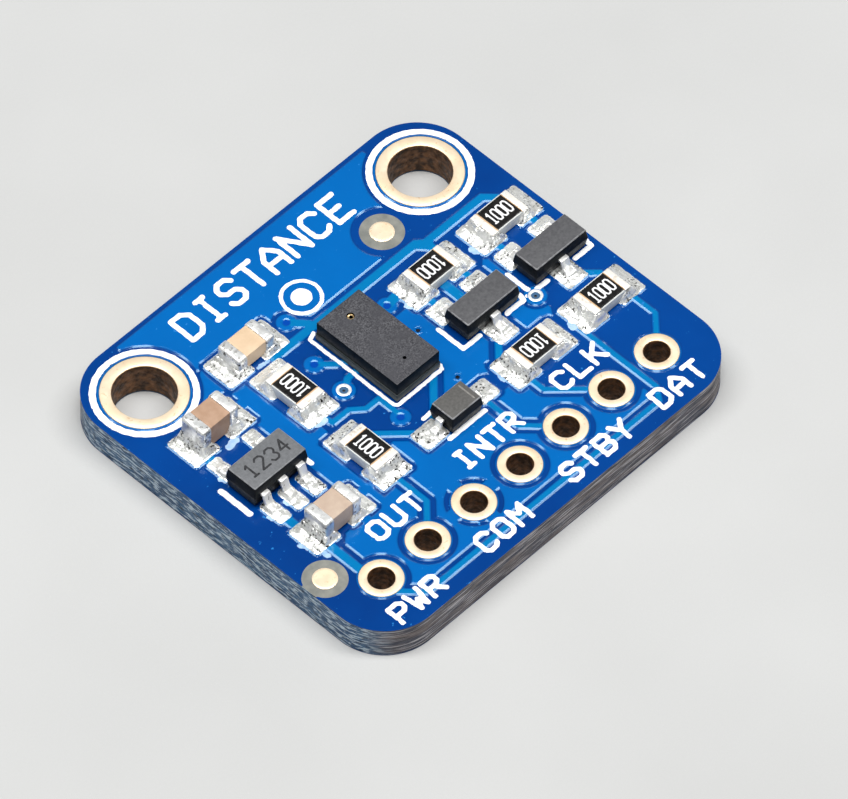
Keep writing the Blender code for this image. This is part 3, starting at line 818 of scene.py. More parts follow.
def add_plated_hole(name, hole, hole_radius, pad_radius, node_name):
    """A turned ring: (radius, height) round the section, from the lower ring up the barrel to the top."""
    lowest = 0.012 + LIP
    bore = [(hole_radius, lowest + (RING_TOP - 2 * LIP) * n / BORE_LEVELS) for n in range(BORE_LEVELS + 1)]
    section = [
        (pad_radius, 0.05), (pad_radius, 0.014),
        (pad_radius - 0.02, RING_FOOT), (hole_radius + LIP, RING_FOOT),
    ]
    section += bore
    section += [
        (hole_radius + 0.3 * LIP, RING_TOP - 0.3 * LIP), (hole_radius + LIP, RING_TOP),
        (pad_radius - 0.025, RING_TOP), (pad_radius, RING_TOP - 0.015), (pad_radius, LAMINATE_TOP),
    ]
    shape = bmesh.new()
    rings = []
    for place_in_section, (radius, height) in enumerate(section):
        ring = []
        for step in range(RING_STEPS):
            angle = step * math.tau / RING_STEPS
            inner = 5 <= place_in_section <= 17
            drilled = math.sin(angle * 9 + height * 13) * math.sin(angle * 4 - height * 21)
            far = radius + (DRILL_WAVE * drilled if inner else 0.0)
            spot = (hole[0] + far * math.cos(angle), hole[1] + PIN_ROW + far * math.sin(angle), height)
            ring.append(shape.verts.new(Vector(spot) * MM))
        rings.append(ring)
    for index, (lower, upper) in enumerate(zip(rings, rings[1:])):
        for step in range(RING_STEPS):
            after = (step + 1) % RING_STEPS
            face = shape.faces.new((lower[step], upper[step], upper[after], lower[after]))
            face.material_index = 1 if 4 <= index <= 17 else 2 if index == 18 else 0
    bmesh.ops.recalc_face_normals(shape, faces=shape.faces)
    mesh = mesh_of(name, shape)
    finishes = (gold_finish, bore_shade_finish, lip_finish)
    return add_piece(name, mesh, finishes, [node_name], sharp=60)


for number, hole in enumerate(PIN_HOLES, start=1):
    cad_node = f"header_hole_plating_{number}"
    add_plated_hole(f"pin_ring_{number}", hole, PIN_HOLE_RADIUS, PIN_PAD_RADIUS, cad_node)
for side, hole in zip(("left", "right"), SCREW_HOLES):
    cad_node = f"mount_hole_plating_{side}"
    add_plated_hole(f"screw_ring_{side}", hole, SCREW_HOLE_RADIUS, SCREW_PAD_RADIUS, cad_node)


# The placing marks and the vias. Each mark is a bare gold dot in a round window of the lacquer, and each
# open via is a small plated hole whose ring took a bead of solder. The hole in each via is a near-black
# disc of painted shade.
mark_floor = finish_material(
    "bare laminate",
    Base_Color=blotched(2.0, 0.35, 0.65, (0.17, 0.175, 0.16), (0.25, 0.25, 0.22)),
    Roughness=rough(5.0, 0.45, 0.7),
    Normal=grain(6.0, 0.003),
)


def add_skin(name, inside, height, span, pitch, skirt, finish, sharp=38.0):
    """A coat of one finish, linked as a piece."""
    mesh, _, _ = skin(name, inside, height, span, pitch, skirt)
    return add_piece(name, mesh, finish, sharp=sharp)


def flat_at(height):
    return lambda x, v: np.full(np.shape(x), height)


for number, mark in enumerate(MARKS, start=1):
    add_skin(
        f"mark_window_{number}",
        lambda x, v: np.minimum(disc_field(x, v, mark, MARK_OPENING + 0.03), board_field(x, v) - 0.005),
        flat_at(LAMINATE_TOP + 0.003), span_round([mark], 1.0), 0.06, 0.002, mark_floor,
    )
    add_skin(
        f"mark_dot_{number}",
        lambda x, v: disc_field(x, v, mark, MARK_DOT),
        lambda x, v: LAMINATE_TOP + 0.02 + 0.022 * smooth_step(disc_field(x, v, mark, MARK_DOT), 0.0, 0.05),
        span_round([mark], 0.6), 0.04, 0.02, gold_finish,
    )


def pitted(material, bright, dull, pit, per_mm=9.0):
    """Bright metal with cloudy dull areas, and small dark pits that keep together in patches."""
    cloudy = between(material, mottle(material, 1.8, 0.5, 0.75), bright, dull)
    patch = mottle(material, 1.3, 0.44, 0.56, roughness=0.4)
    holes = mottle(material, per_mm, 0.55, 0.62, detail=3.0)
    both = node(material, "ShaderNodeMath", operation="MULTIPLY")
    material.node_tree.links.new(patch, both.inputs[0])
    material.node_tree.links.new(holes, both.inputs[1])
    return between(material, both.outputs[0], cloudy, pit)


solder_finish = finish_material(
    "solder",
    Base_Color=lambda m: pitted(m, (0.97, 0.97, 0.93), (0.80, 0.79, 0.73), (0.025, 0.022, 0.018)),
    Metallic=0.6,
    Roughness=rough(3.0, 0.2, 0.42),
    Normal=lambda m: bump(
        m, mottle(m, 7.0, 0.3, 0.7), 0.006, bump(m, mottle(m, 2.4, 0.25, 0.75, detail=2.0), 0.05)
    ),
)
tinned_finish = finish_material(
    "tinned ring",
    Base_Color=blotched(4.0, 0.4, 0.7, (0.96, 0.96, 0.93), (0.70, 0.72, 0.72)),
    Metallic=0.3,
    Roughness=rough(5.0, 0.25, 0.45),
    Normal=grain(8.0, 0.004),
)
VIA_RING_FOOT = 1.595
VIA_BEAD_FOOT = 1.52
# A near-black finish put in the via holes as painted shade.
hole_shade_finish = finish_material(
    "via hole, dark as shade",
    Specular_IOR_Level=0.25,
    Base_Color=blotched(8.0, 0.4, 0.6, (0.004, 0.006, 0.012), (0.015, 0.017, 0.022)),
    Roughness=rough(5.0, 0.1, 0.3),
)
for number, via in enumerate(OPEN_VIAS, start=1):
    add_skin(
        f"via_ring_{number}",
        lambda x, v: np.minimum(disc_field(x, v, via, 0.31), -disc_field(x, v, via, 0.18)),
        lambda x, v: VIA_RING_FOOT
        + 0.03 * smooth_step(0.07 - np.abs(disc_field(x, v, via, 0.245)), 0.0, 0.07),
        span_round([via], 0.4), 0.025, 0.06, tinned_finish,
    )
    add_skin(
        f"via_hole_shade_{number}",
        lambda x, v: disc_field(x, v, via, 0.20),
        lambda x, v: VIA_BEAD_FOOT + 0.05 * smooth_step(disc_field(x, v, via, 0.12), 0.0, 0.1),
        span_round([via], 0.25), 0.025, 0.02, hole_shade_finish,
    )
# Each small via's hole is a near-black disc of painted shade.
for number, via in enumerate(SMALL_VIAS, start=1):
    add_skin(
        f"small_via_{number}", lambda x, v: disc_field(x, v, via, 0.11),
        flat_at(LAMINATE_TOP + 0.002), span_round([via], 0.15), 0.02, 0.001, hole_shade_finish,
    )


# The white printing. Ink squeezed through a screen onto the finished lacquer: a ring round each screw
# hole, corner lines round the chips, and plain words by the pins, in strokes of one width that drape.
INK_THICKNESS = 0.014
INK_PITCH = 0.045
INK_WANDER = 0.011
CHIP_LINES = (
    (0.085, ((-1.0, 10.1), (-1.32, 9.95), (-1.32, 5.45), (-1.2, 5.33), (1.2, 5.33), (1.3, 5.5))),
    (0.13, ((-8.93, 5.72), (-8.93, 7.27))),
    (0.11, ((-5.57, 5.72), (-5.57, 6.9))),
    (0.11, ((2.5, 6.75), (2.5, 5.42), (3.42, 5.42))),
    (0.11, ((4.93, 5.42), (5.85, 5.42), (5.93, 5.7))),
    (0.11, ((6.32, 6.72), (6.32, 5.44))),
    (0.11, ((6.1, 5.43), (7.2, 5.43))),
    (0.11, ((8.75, 5.42), (9.65, 5.42), (9.68, 5.8))),
    (0.11, ((-1.0, 2.76), (0.93, 2.76))),
    (0.10, ((-1.0, 4.17), (-0.5, 4.17))),
)
# One stroke font, on a grid 4 wide and 6 high: each letter is one or more lines of (across, up) points.
LETTERS = {
    "A": (((0, 0), (0, 3.6), (2, 6), (4, 3.6), (4, 0)), ((0, 2.2), (4, 2.2))),
    "B": (
        ((0, 0), (0, 6), (3, 6), (4, 5), (4, 4), (3, 3), (4, 2), (4, 1), (3, 0), (0, 0)), ((0, 3), (3, 3)),
    ),
    "C": (((4, 5), (3, 6), (1, 6), (0, 5), (0, 1), (1, 0), (3, 0), (4, 1)),),
    "D": (((0, 0), (0, 6), (2.6, 6), (4, 4.7), (4, 1.3), (2.6, 0), (0, 0)),),
    "E": (((4, 6), (0, 6), (0, 0), (4, 0)), ((0, 3), (3, 3))),
    "I": (((1, 0), (3, 0)), ((2, 0), (2, 6)), ((1, 6), (3, 6))),
    "K": (((0, 0), (0, 6)), ((4, 6), (0, 2.4)), ((1.3, 3.6), (4, 0))),
    "L": (((0, 6), (0, 0), (4, 0)),),
    "M": (((0, 0), (0, 6), (2, 3.2), (4, 6), (4, 0)),),
    "N": (((0, 0), (0, 6), (4, 0), (4, 6)),),
    "O": (((0, 1), (0, 5), (1, 6), (3, 6), (4, 5), (4, 1), (3, 0), (1, 0), (0, 1)),),
    "P": (((0, 0), (0, 6), (3, 6), (4, 5), (4, 3.8), (3, 2.8), (0, 2.8)),),
    "R": (((0, 0), (0, 6), (3, 6), (4, 5), (4, 3.8), (3, 2.8), (0, 2.8)), ((1.8, 2.8), (4, 0))),
    "S": (
        ((4, 5), (3, 6), (1, 6), (0, 5), (0, 4), (1, 3), (3, 3), (4, 2), (4, 1), (3, 0), (1, 0), (0, 1)),
    ),
    "T": (((0, 6), (4, 6)), ((2, 6), (2, 0))),
    "U": (((0, 6), (0, 1), (1, 0), (3, 0), (4, 1), (4, 6)),),
    "W": (((0, 6), (0.8, 0), (2, 3), (3.2, 0), (4, 6)),),
    "Y": (((0, 6), (2, 3), (4, 6)), ((2, 3), (2, 0))),
    "0": (((0, 1), (0, 5), (1, 6), (3, 6), (4, 5), (4, 1), (3, 0), (1, 0), (0, 1)),),
    "1": (((0.8, 5), (2, 6), (2, 0)), ((0.8, 0), (3.2, 0))),
    "2": (((0, 5), (1, 6), (3, 6), (4, 5), (4, 4), (0, 0), (4, 0)),),
    "3": (((0, 5), (1, 6), (3, 6), (4, 5), (4, 4), (3, 3), (4, 2), (4, 1), (3, 0), (1, 0), (0, 1)),),
    "4": (((3, 0), (3, 6), (0, 2), (4, 2)),),
}
TITLE = ("DISTANCE", -4.5, 13.15, 0.78, 1.23, 0.112, 1.155)
PIN_NAMES = (
    ("OUT", -6.38, 1.27, 0.60, 0.81, 0.10, 0.92),
    ("INTR", -1.62, 1.27, 0.58, 0.81, 0.10, 0.85),
    ("CLK", 3.76, 1.27, 0.60, 0.81, 0.10, 0.92),
    ("PWR", -8.54, -2.06, 0.60, 0.83, 0.10, 0.88),
    ("COM", -3.88, -2.06, 0.60, 0.83, 0.10, 0.92),
    ("STBY", 0.82, -2.06, 0.60, 0.83, 0.10, 0.93),
    ("DAT", 5.84, -2.06, 0.60, 0.83, 0.10, 0.93),
)


def lettering(word, left, foot, width, height, half_stroke, spacing):
    """Strokes of a word: each letter this wide and high, in mm, starting one spacing after the last."""
    strokes = []
    for place_in_word, letter in enumerate(word):
        start = left + place_in_word * spacing
        for line in LETTERS[letter]:
            points = tuple((start + across * width / 4, foot + up * height / 6) for across, up in line)
            strokes.append((half_stroke, points))
    return strokes


ink_finish = finish_material(
    "white ink",
    Base_Color=blotched(6.0, 0.60, 0.75, (0.97, 0.97, 0.97), (0.80, 0.83, 0.88)),
    Roughness=rough(4.0, 0.5, 0.75),
    Normal=grain(12.0, 0.002),
)


def print_strokes(name, strokes):
    """Prints strokes of ink that drape over the lacquer and stop short of the rings."""
    def inked(x, v):
        wander = INK_WANDER * np.sin(x * 11.0 + v * 5.0) * np.sin(v * 13.0 - x * 4.0)
        pins = discs_field(x, v, PIN_HOLES, PIN_PAD_RADIUS + 0.03)
        vias = discs_field(x, v, OPEN_VIAS, 0.33)
        return np.minimum(strokes_field(x, v, strokes) + wander, -np.maximum(pins, vias))

    def ink_top(x, v):
        return lacquer_top(x, v) + 0.003 + (INK_THICKNESS - 0.003) * smooth_step(inked(x, v), -0.01, 0.035)

    span = span_round([point for _, line in strokes for point in line], 0.25)
    add_skin(name, inked, ink_top, span, INK_PITCH, 0.012, ink_finish)


print_strokes("printed_title", lettering(*TITLE))
BADGE = (-0.07, 11.65)
BADGE_RADIUS = 0.80
SCREW_RING_RADIUS = 2.01


def circle_round(centre, radius, steps):
    turn = [step * math.tau / steps for step in range(steps + 1)]
    return tuple((centre[0] + radius * math.cos(a), centre[1] + radius * math.sin(a)) for a in turn)


badge_rim = circle_round(BADGE, BADGE_RADIUS, 72)
print_strokes("printed_badge", [(0.08, badge_rim), (0.42, (BADGE, (BADGE[0] + 0.001, BADGE[1])))])
for word in PIN_NAMES:
    print_strokes(f"printed_name_{word[0].lower()}", lettering(*word))
for number, line in enumerate(CHIP_LINES, start=1):
    print_strokes(f"printed_line_{number}", [line])
for side, hole in zip(("left", "right"), SCREW_HOLES):
    print_strokes(f"printed_ring_{side}", [(0.135, circle_round(hole, SCREW_RING_RADIUS, 90))])


# The solder. Paste melted over each pad wets the metal end above it and sets as a bright lumpy fillet,
# dull where flux boiled out. It is one piece for all the pads of a part.
SOLDER_BASE = 1.597
SOLDER_PITCH = 0.05
CHIP_FILLET = 0.24
LEAD_FILLET = 0.13


def lumps(x, v, seed):
    """Hand-sized waves in the melt, from -1 to 1."""
    wide = np.sin(5.1 * x + 3.0 * seed) * np.sin(6.3 * v + 1.7 * seed)
    fine = np.sin(13.0 * x + 7.0 * v + seed) * np.sin(11.0 * v - 5.0 * x + 2.0 * seed)
    return 0.6 * wide + 0.4 * fine


def footprint(node_name, below_mm):
    """The plan outline, from the pin row, of the part of a CAD node that lies under this height."""
    points = [vertex.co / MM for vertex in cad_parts[node_name].data.vertices]
    low = [point for point in points if point.z < below_mm]
    across = [point.x for point in low]
    along = [point.y - PIN_ROW for point in low]
    return min(across), max(across), min(along), max(along)


def add_solder(part, ends, rise_share, reach, below_mm):
    """Solder on every pad of a part, drawn up to whichever metal end stands on that pad."""
    outlines = [footprint(end, below_mm) for end in ends]
    tops = [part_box(end)[1].z / MM for end in ends]
    pads = PADS[part]
    seed = sum(map(ord, part)) % 17
    rises = []
    for left, right, front, back in pads:
        def reach_of(outline):
            across = (outline[0] + outline[1] - left - right) / 2
            return math.hypot(across, (outline[2] + outline[3] - front - back) / 2)

        nearest = min(range(len(outlines)), key=lambda n: reach_of(outlines[n]))
        rises.append((outlines[nearest], tops[nearest]))

    def pads_field(x, v):
        return widest(box_field(x, v, *pad, 0.09) for pad in pads)

    def melted(x, v):
        return pads_field(x, v) + 0.018 * lumps(x * 2.2, v * 2.2, seed) + 0.045

    def solder_top(x, v):
        depth = pads_field(x, v)
        top = SOLDER_BASE + 0.055 * smooth_step(depth, -0.03, 0.16) * (1.0 + 0.35 * lumps(x, v, seed))
        for pad, (outline, height) in zip(pads, rises):
            on_pad = box_field(x, v, *pad) > -0.06
            inside = box_field(x, v, *outline, 0.02)
            away = np.maximum(-inside, 0.0)
            rise = rise_share * (min(height, below_mm) - SOLDER_BASE) * np.exp(-(away / reach) ** 1.25)
            rise = rise * smooth_step(depth, -0.02, 0.10) * (1.0 + 0.16 * lumps(x * 1.6, v * 1.6, seed + 1))
            top = np.where(on_pad & (inside < 0.05), np.maximum(top, SOLDER_BASE + rise), top)
            top = np.where(on_pad & (inside >= 0.05), SOLDER_BASE + 0.005, top)
        return top

    corners = [corner for left, right, front, back in pads for corner in ((left, front), (right, back))]
    span = span_round(corners, 0.15)
    add_skin(f"solder_{part}", melted, solder_top, span, SOLDER_PITCH, 0.03, solder_finish, sharp=75)


CHIPS = ["sensor_capacitor", "output_capacitor", "input_capacitor"] + [f"resistor_{n}" for n in range(1, 7)]
for chip in CHIPS:
    metal_ends = [f"{chip}_terminal_left", f"{chip}_terminal_right"]
    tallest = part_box(metal_ends[0])[1].z / MM + 0.01
    share, reach = (0.85, CHIP_FILLET) if "resistor" in chip else (0.30, 0.6 * CHIP_FILLET)
    add_solder(chip, metal_ends, share, reach, tallest)
LEADED = {"regulator": 5, "clock_transistor": 3, "data_transistor": 3, "shutdown_diode": 2}
for part, count in LEADED.items():
    add_solder(part, [f"{part}_lead_{n + 1}" for n in range(count)], 0.9, LEAD_FILLET, 1.80)


def round_over(shape, edges, radius_mm, segments):
    bmesh.ops.bevel(
        shape, geom=edges, offset=radius_mm * MM, segments=segments, profile=0.5, affect="EDGES",
        clamp_overlap=True,
    )


def softened(name, node_name, radius_mm, segments=3, only_outer=False):
    """A copy of a CAD node with its flat faces rejoined and its edges rounded to this radius."""
    shape = bmesh.new()
    shape.from_mesh(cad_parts[node_name].data)
    bmesh.ops.remove_doubles(shape, verts=shape.verts, dist=0.0005 * MM)
    bmesh.ops.dissolve_limit(shape, angle_limit=math.radians(1.0), verts=shape.verts, edges=shape.edges)
    low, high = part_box(node_name)

    def on_outside(edge):
        shared = 0
        for axis in range(3):
            for limit in (low[axis], high[axis]):
                shared += all(abs(vertex.co[axis] - limit) < 0.001 * MM for vertex in edge.verts)
        return shared >= 2

    edges = [edge for edge in shape.edges if edge.is_manifold and edge.calc_face_angle() > math.radians(15)]
    if only_outer:
        edges = [edge for edge in edges if on_outside(edge)]
    round_over(shape, edges, radius_mm, segments)
    return mesh_of(name, shape)


def add_softened(name, node_name, finish, radius_mm, segments=3, only_outer=False, sharp=38.0):
    """A softened copy of a CAD node, linked as the piece that stands for it."""
    mesh = softened(name, node_name, radius_mm, segments, only_outer)
    return add_piece(name, mesh, finish, [node_name], sharp)


def dipped_end(name, node_name, inner_x, waves_mm):
    """A solid metal end of the CAD end's outer size, its outer edges well rounded and its faces uneven."""
    shape = bmesh.new()
    shape.from_mesh(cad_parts[node_name].data)
    hull = bmesh.ops.convex_hull(shape, input=shape.verts, use_existing_faces=False)
    bmesh.ops.delete(shape, geom=hull["geom_interior"] + hull["geom_unused"], context="VERTS")
    bmesh.ops.remove_doubles(shape, verts=shape.verts, dist=0.0005 * MM)
    bmesh.ops.dissolve_limit(shape, angle_limit=math.radians(1.0), verts=shape.verts, edges=shape.edges)

    def inner_edges():
        return [edge for edge in shape.edges if all(abs(v.co.x - inner_x) < 0.001 * MM for v in edge.verts)]

    inner = inner_edges()
    round_over(shape, [edge for edge in shape.edges if edge not in inner], 0.15, 5)
    round_over(shape, inner_edges(), 0.05, 3)
    bmesh.ops.triangulate(shape, faces=[face for face in shape.faces if len(face.verts) > 4])
    long_edges = [edge for edge in shape.edges if edge.calc_length() > 0.3 * MM]
    bmesh.ops.subdivide_edges(shape, edges=long_edges, cuts=5, use_grid_fill=True)
    shape.normal_update()
    seed = sum(map(ord, name)) % 13
    for vertex in shape.verts:
        x, y, z = vertex.co / MM
        wave = math.sin(5.3 * x + seed) * math.sin(6.1 * y - 2.0 * seed)
        wave = wave + math.sin(7.9 * z + 4.1 * x + seed)
        vertex.co -= vertex.normal * (waves_mm * (1.0 + 0.5 * wave)) * MM
    shape.normal_update()
    return mesh_of(name, shape)


def paint_top(mesh, least_upward=0.8, least_edge=None):
    """Gives the second material to the faces that look up, and a third to the rounded edges below them, so
    that a top can be painted lit, its sides shaded and its edges highlighted.
    """
    for face in mesh.polygons:
        if face.normal.z > least_upward:
            face.material_index = 1
        elif least_edge is not None and face.normal.z > least_edge:
            face.material_index = 2


# The range sensor. A black moulded cap glued on a small dark board, with one hole over the laser and a
# smaller one over the detector. The cap's top is eroded to an even grain and its sides are smooth. The
# sides are painted near black as shade, and the top lighter, partly for its grain and partly as painted
# light.
def grain_colour(material):
    flecks = mottle(material, 17.0, 0.38, 0.66, detail=2.0)
    fleck = between(material, flecks, (0.026, 0.026, 0.031), (0.125, 0.125, 0.135))
    return between(material, mottle(material, 1.2, 0.35, 0.7), fleck, (0.058, 0.058, 0.066))


# Sides painted near black as shade.
cap_side_shade = finish_material(
    "black moulding",
    Base_Color=blotched(1.5, 0.3, 0.7, (0.003, 0.005, 0.007), (0.007, 0.010, 0.013)),
    Roughness=rough(5.0, 0.32, 0.5),
    Normal=grain(10.0, 0.002),
    Specular_IOR_Level=0.05,
)
# Top painted lighter, partly for the grain and partly as painted light.
cap_top_grain_and_light = finish_material(
    "grained black moulding",
    Base_Color=grain_colour,
    Roughness=rough(9.0, 0.6, 0.85),
    Normal=lambda m: bump(m, mottle(m, 17.0, 0.25, 0.75, detail=2.0), 0.008),
    Specular_IOR_Level=0.3,
)
substrate_finish = finish_material(
    "sensor board",
    Base_Color=blotched(2.0, 0.3, 0.7, (0.008, 0.014, 0.014), (0.018, 0.028, 0.026)),
    Roughness=rough(4.0, 0.35, 0.55),
    Normal=grain(8.0, 0.003),
)
add_softened("sensor_board", "sensor_substrate", substrate_finish, 0.03)
cap = softened("sensor_cover", "sensor_cap", 0.035, only_outer=True)
paint_top(cap)
add_piece("sensor_cover", cap, (cap_side_shade, cap_top_grain_and_light), ["sensor_cap"])
brass = finish_material(
    "brassy die pad",
    Base_Color=blotched(4.0, 0.35, 0.65, (0.75, 0.48, 0.20), (0.95, 0.74, 0.42)),
    Metallic=0.8,
    Roughness=rough(4.0, 0.2, 0.4),
)
silicon = finish_material(
    "silicon",
    Base_Color=blotched(6.0, 0.4, 0.6, (0.05, 0.05, 0.06), (0.12, 0.11, 0.12)),
    Metallic=0.3,
    Roughness=rough(4.0, 0.15, 0.3),
)
filter_glass = finish_material(
    "dark filter glass",
    Base_Color=blotched(2.0, 0.3, 0.7, (0.03, 0.012, 0.012), (0.05, 0.02, 0.02)),
    Roughness=rough(3.0, 0.08, 0.16),
)
emitter_low, emitter_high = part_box("emitter_die")
emitter_spot = ((emitter_low + emitter_high) / 2 / MM).xy
emitter_spot = (emitter_spot[0], emitter_spot[1] - PIN_ROW)
shield_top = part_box("sensor_cap")[1].z / MM - 0.09
add_skin(
    "emitter_shield",
    lambda x, v: np.minimum(
        disc_field(x, v, emitter_spot, 0.166) - 0.02 * (1 + lumps(3 * x, 3 * v, 4)),
        -disc_field(x, v, emitter_spot, 0.085) + 0.03 * lumps(2 * x, 2 * v, 2),
    ),
    lambda x, v: shield_top + 0.02 * lumps(2 * x, 2 * v, 5),
    span_round([emitter_spot], 0.2), 0.018, 0.02, brass,
)
for node_name, finish, slot_name in (
    ("emitter_die", brass, "emitter_metal"), ("receiver_die", silicon, "silicon"),
    ("receiver_filter", filter_glass, "filter_glass"),
):
    add_softened(f"{node_name}_chip", node_name, finish, 0.01)


# The regulator, the two transistors and the diode. Each is a black epoxy body moulded round bent tinned
# leads. The tops were ground to a dull grey and are painted lighter, partly for that and partly as painted
# light; the sides are painted near black as shade, and the rounded edges under the tops get a painted
# highlight.
def moulded(name, top_dark, top_light):
    # Top: ground grey, painted lighter partly as light.
    top = finish_material(
        f"{name} ground top in painted light",
        Base_Color=lambda m: between(m, mottle(m, 9.0, 0.3, 0.7, detail=5.0), top_dark, top_light),
        Roughness=rough(6.0, 0.5, 0.75),
        Normal=grain(10.0, 0.003),
    )
    # Sides painted near black as shade.
    side = finish_material(
        f"{name} sides in painted shade",
        Base_Color=blotched(4.0, 0.3, 0.7, (0.004, 0.005, 0.006), (0.011, 0.012, 0.013)),
        Roughness=rough(5.0, 0.3, 0.5),
        Normal=grain(9.0, 0.003),
        Specular_IOR_Level=0.08,
    )
    # Rounded edges under the top, painted lighter as a highlight.
    edge = finish_material(
        f"{name} edges with painted highlight",
        Base_Color=blotched(5.0, 0.35, 0.65, top_light, (0.30, 0.30, 0.31)),
        Roughness=rough(5.0, 0.3, 0.45),
        Normal=grain(9.0, 0.002),
    )
    return side, top, edge


lead_finish = finish_material(
    "tinned lead",
    Base_Color=blotched(4.0, 0.6, 0.72, (0.94, 0.93, 0.90), (0.60, 0.58, 0.54)),
    Metallic=0.65,
    Roughness=rough(4.0, 0.25, 0.42),
    Normal=grain(7.0, 0.004),
)
BODIES = {
    "regulator": ("grey_moulding", (0.115, 0.12, 0.125), (0.165, 0.17, 0.18)),
    "clock_transistor": ("black_moulding", (0.06, 0.06, 0.065), (0.10, 0.10, 0.105)),
    "data_transistor": ("black_moulding", (0.06, 0.06, 0.065), (0.10, 0.10, 0.105)),
    "shutdown_diode": ("diode_moulding", (0.07, 0.068, 0.064), (0.11, 0.106, 0.10)),
}
for part, (slot_name, dark, light) in BODIES.items():
    body = softened(f"{part}_moulding", f"{part}_body", 0.06)
    paint_top(body, 0.95, 0.3)
    add_piece(f"{part}_moulding", body, moulded(part, dark, light), [f"{part}_body"])
    for number in range(1, LEADED[part] + 1):
        add_softened(f"{part}_pin_{number}", f"{part}_lead_{number}", lead_finish, 0.03, sharp=50)


CODE_PITCH = 0.02


def stroke_piece(name, strokes, top_mm, finish, thickness):
    """Marks on the flat top of a part."""
    span = span_round([point for _, line in strokes for point in line], 0.1)
    add_skin(
        name, lambda x, v: strokes_field(x, v, strokes), flat_at(top_mm + thickness),
        span, CODE_PITCH, thickness, finish,
    )


mark_burn = finish_material(
    "laser burnt mark",
    Base_Color=blotched(12.0, 0.4, 0.6, (0.010, 0.010, 0.012), (0.030, 0.030, 0.033)),
    Roughness=rough(8.0, 0.6, 0.8),
)
regulator_low, regulator_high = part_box("regulator_body")
regulator_left = regulator_low.x / MM + 0.42
regulator_foot = (regulator_low.y + regulator_high.y) / 2 / MM - PIN_ROW - 0.30
regulator_marks = lettering("1234", regulator_left, regulator_foot, 0.38, 0.62, 0.045, 0.56)
stroke_piece("regulator_mark", regulator_marks, regulator_high.z / MM, mark_burn, 0.002)
diode_low, diode_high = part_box("shutdown_diode_body")
bar_x = diode_high.x / MM - 0.3
bar_ends = ((bar_x, diode_low.y / MM - PIN_ROW + 0.22), (bar_x, diode_high.y / MM - PIN_ROW - 0.22))
bar_finish = finish_material(
    "pale cathode bar",
    Base_Color=blotched(8.0, 0.35, 0.65, (0.16, 0.15, 0.14), (0.24, 0.23, 0.21)),
    Roughness=rough(8.0, 0.5, 0.7),
)
stroke_piece("diode_bar", [(0.035, bar_ends)], diode_high.z / MM, bar_finish, 0.002)


# The chip resistors. White alumina slips with tinned wrap-round ends and a black glaze over the film,
# printed with a plain four-figure code that follows the way each chip was placed.
alumina = finish_material(
    "white alumina",
    Base_Color=blotched(2.5, 0.3, 0.7, (0.58, 0.60, 0.58), (0.72, 0.73, 0.70)),
    Roughness=rough(5.0, 0.45, 0.65),
    Normal=grain(9.0, 0.003),
)


def glaze_colour(material):
    """Black, with a thin tan line at each end where the chip's inner electrode shows."""
    cloudy = mottle(material, 7.0, 0.4, 0.7)
    black = between(material, cloudy, (0.006, 0.0055, 0.0055), (0.018, 0.017, 0.016))
    return between(material, attribute_mask(material, "from_end", 0.085, 0.065), black, (0.62, 0.40, 0.22))


glaze = finish_material(
    "black resistor glaze",
    Base_Color=glaze_colour,
    Roughness=rough(4.0, 0.25, 0.4),
    Specular_IOR_Level=0.35,
    Normal=grain(8.0, 0.004),
)
plated_end = finish_material(
    "plated chip end",
    Base_Color=blotched(4.5, 0.58, 0.72, (0.98, 0.94, 0.86), (0.72, 0.62, 0.50)),
    Metallic=0.35,
    Roughness=rough(4.0, 0.35, 0.5),
    Normal=grain(7.0, 0.005),
)
code_ink = finish_material(
    "white code ink",
    Base_Color=blotched(14.0, 0.58, 0.7, (0.85, 0.85, 0.85), (0.5, 0.5, 0.5)),
    Roughness=rough(8.0, 0.5, 0.7),
)
CODE_TURNS = {1: 2, 2: 0, 3: 2, 4: 0, 5: 1, 6: 3}
GLAZE_RISE = 0.018
GLAZE_SINK = 0.012


def turned(points, centre, quarters):
    for _ in range(quarters):
        points = tuple((centre[0] - (v - centre[1]), centre[1] + (x - centre[0])) for x, v in points)
    return points


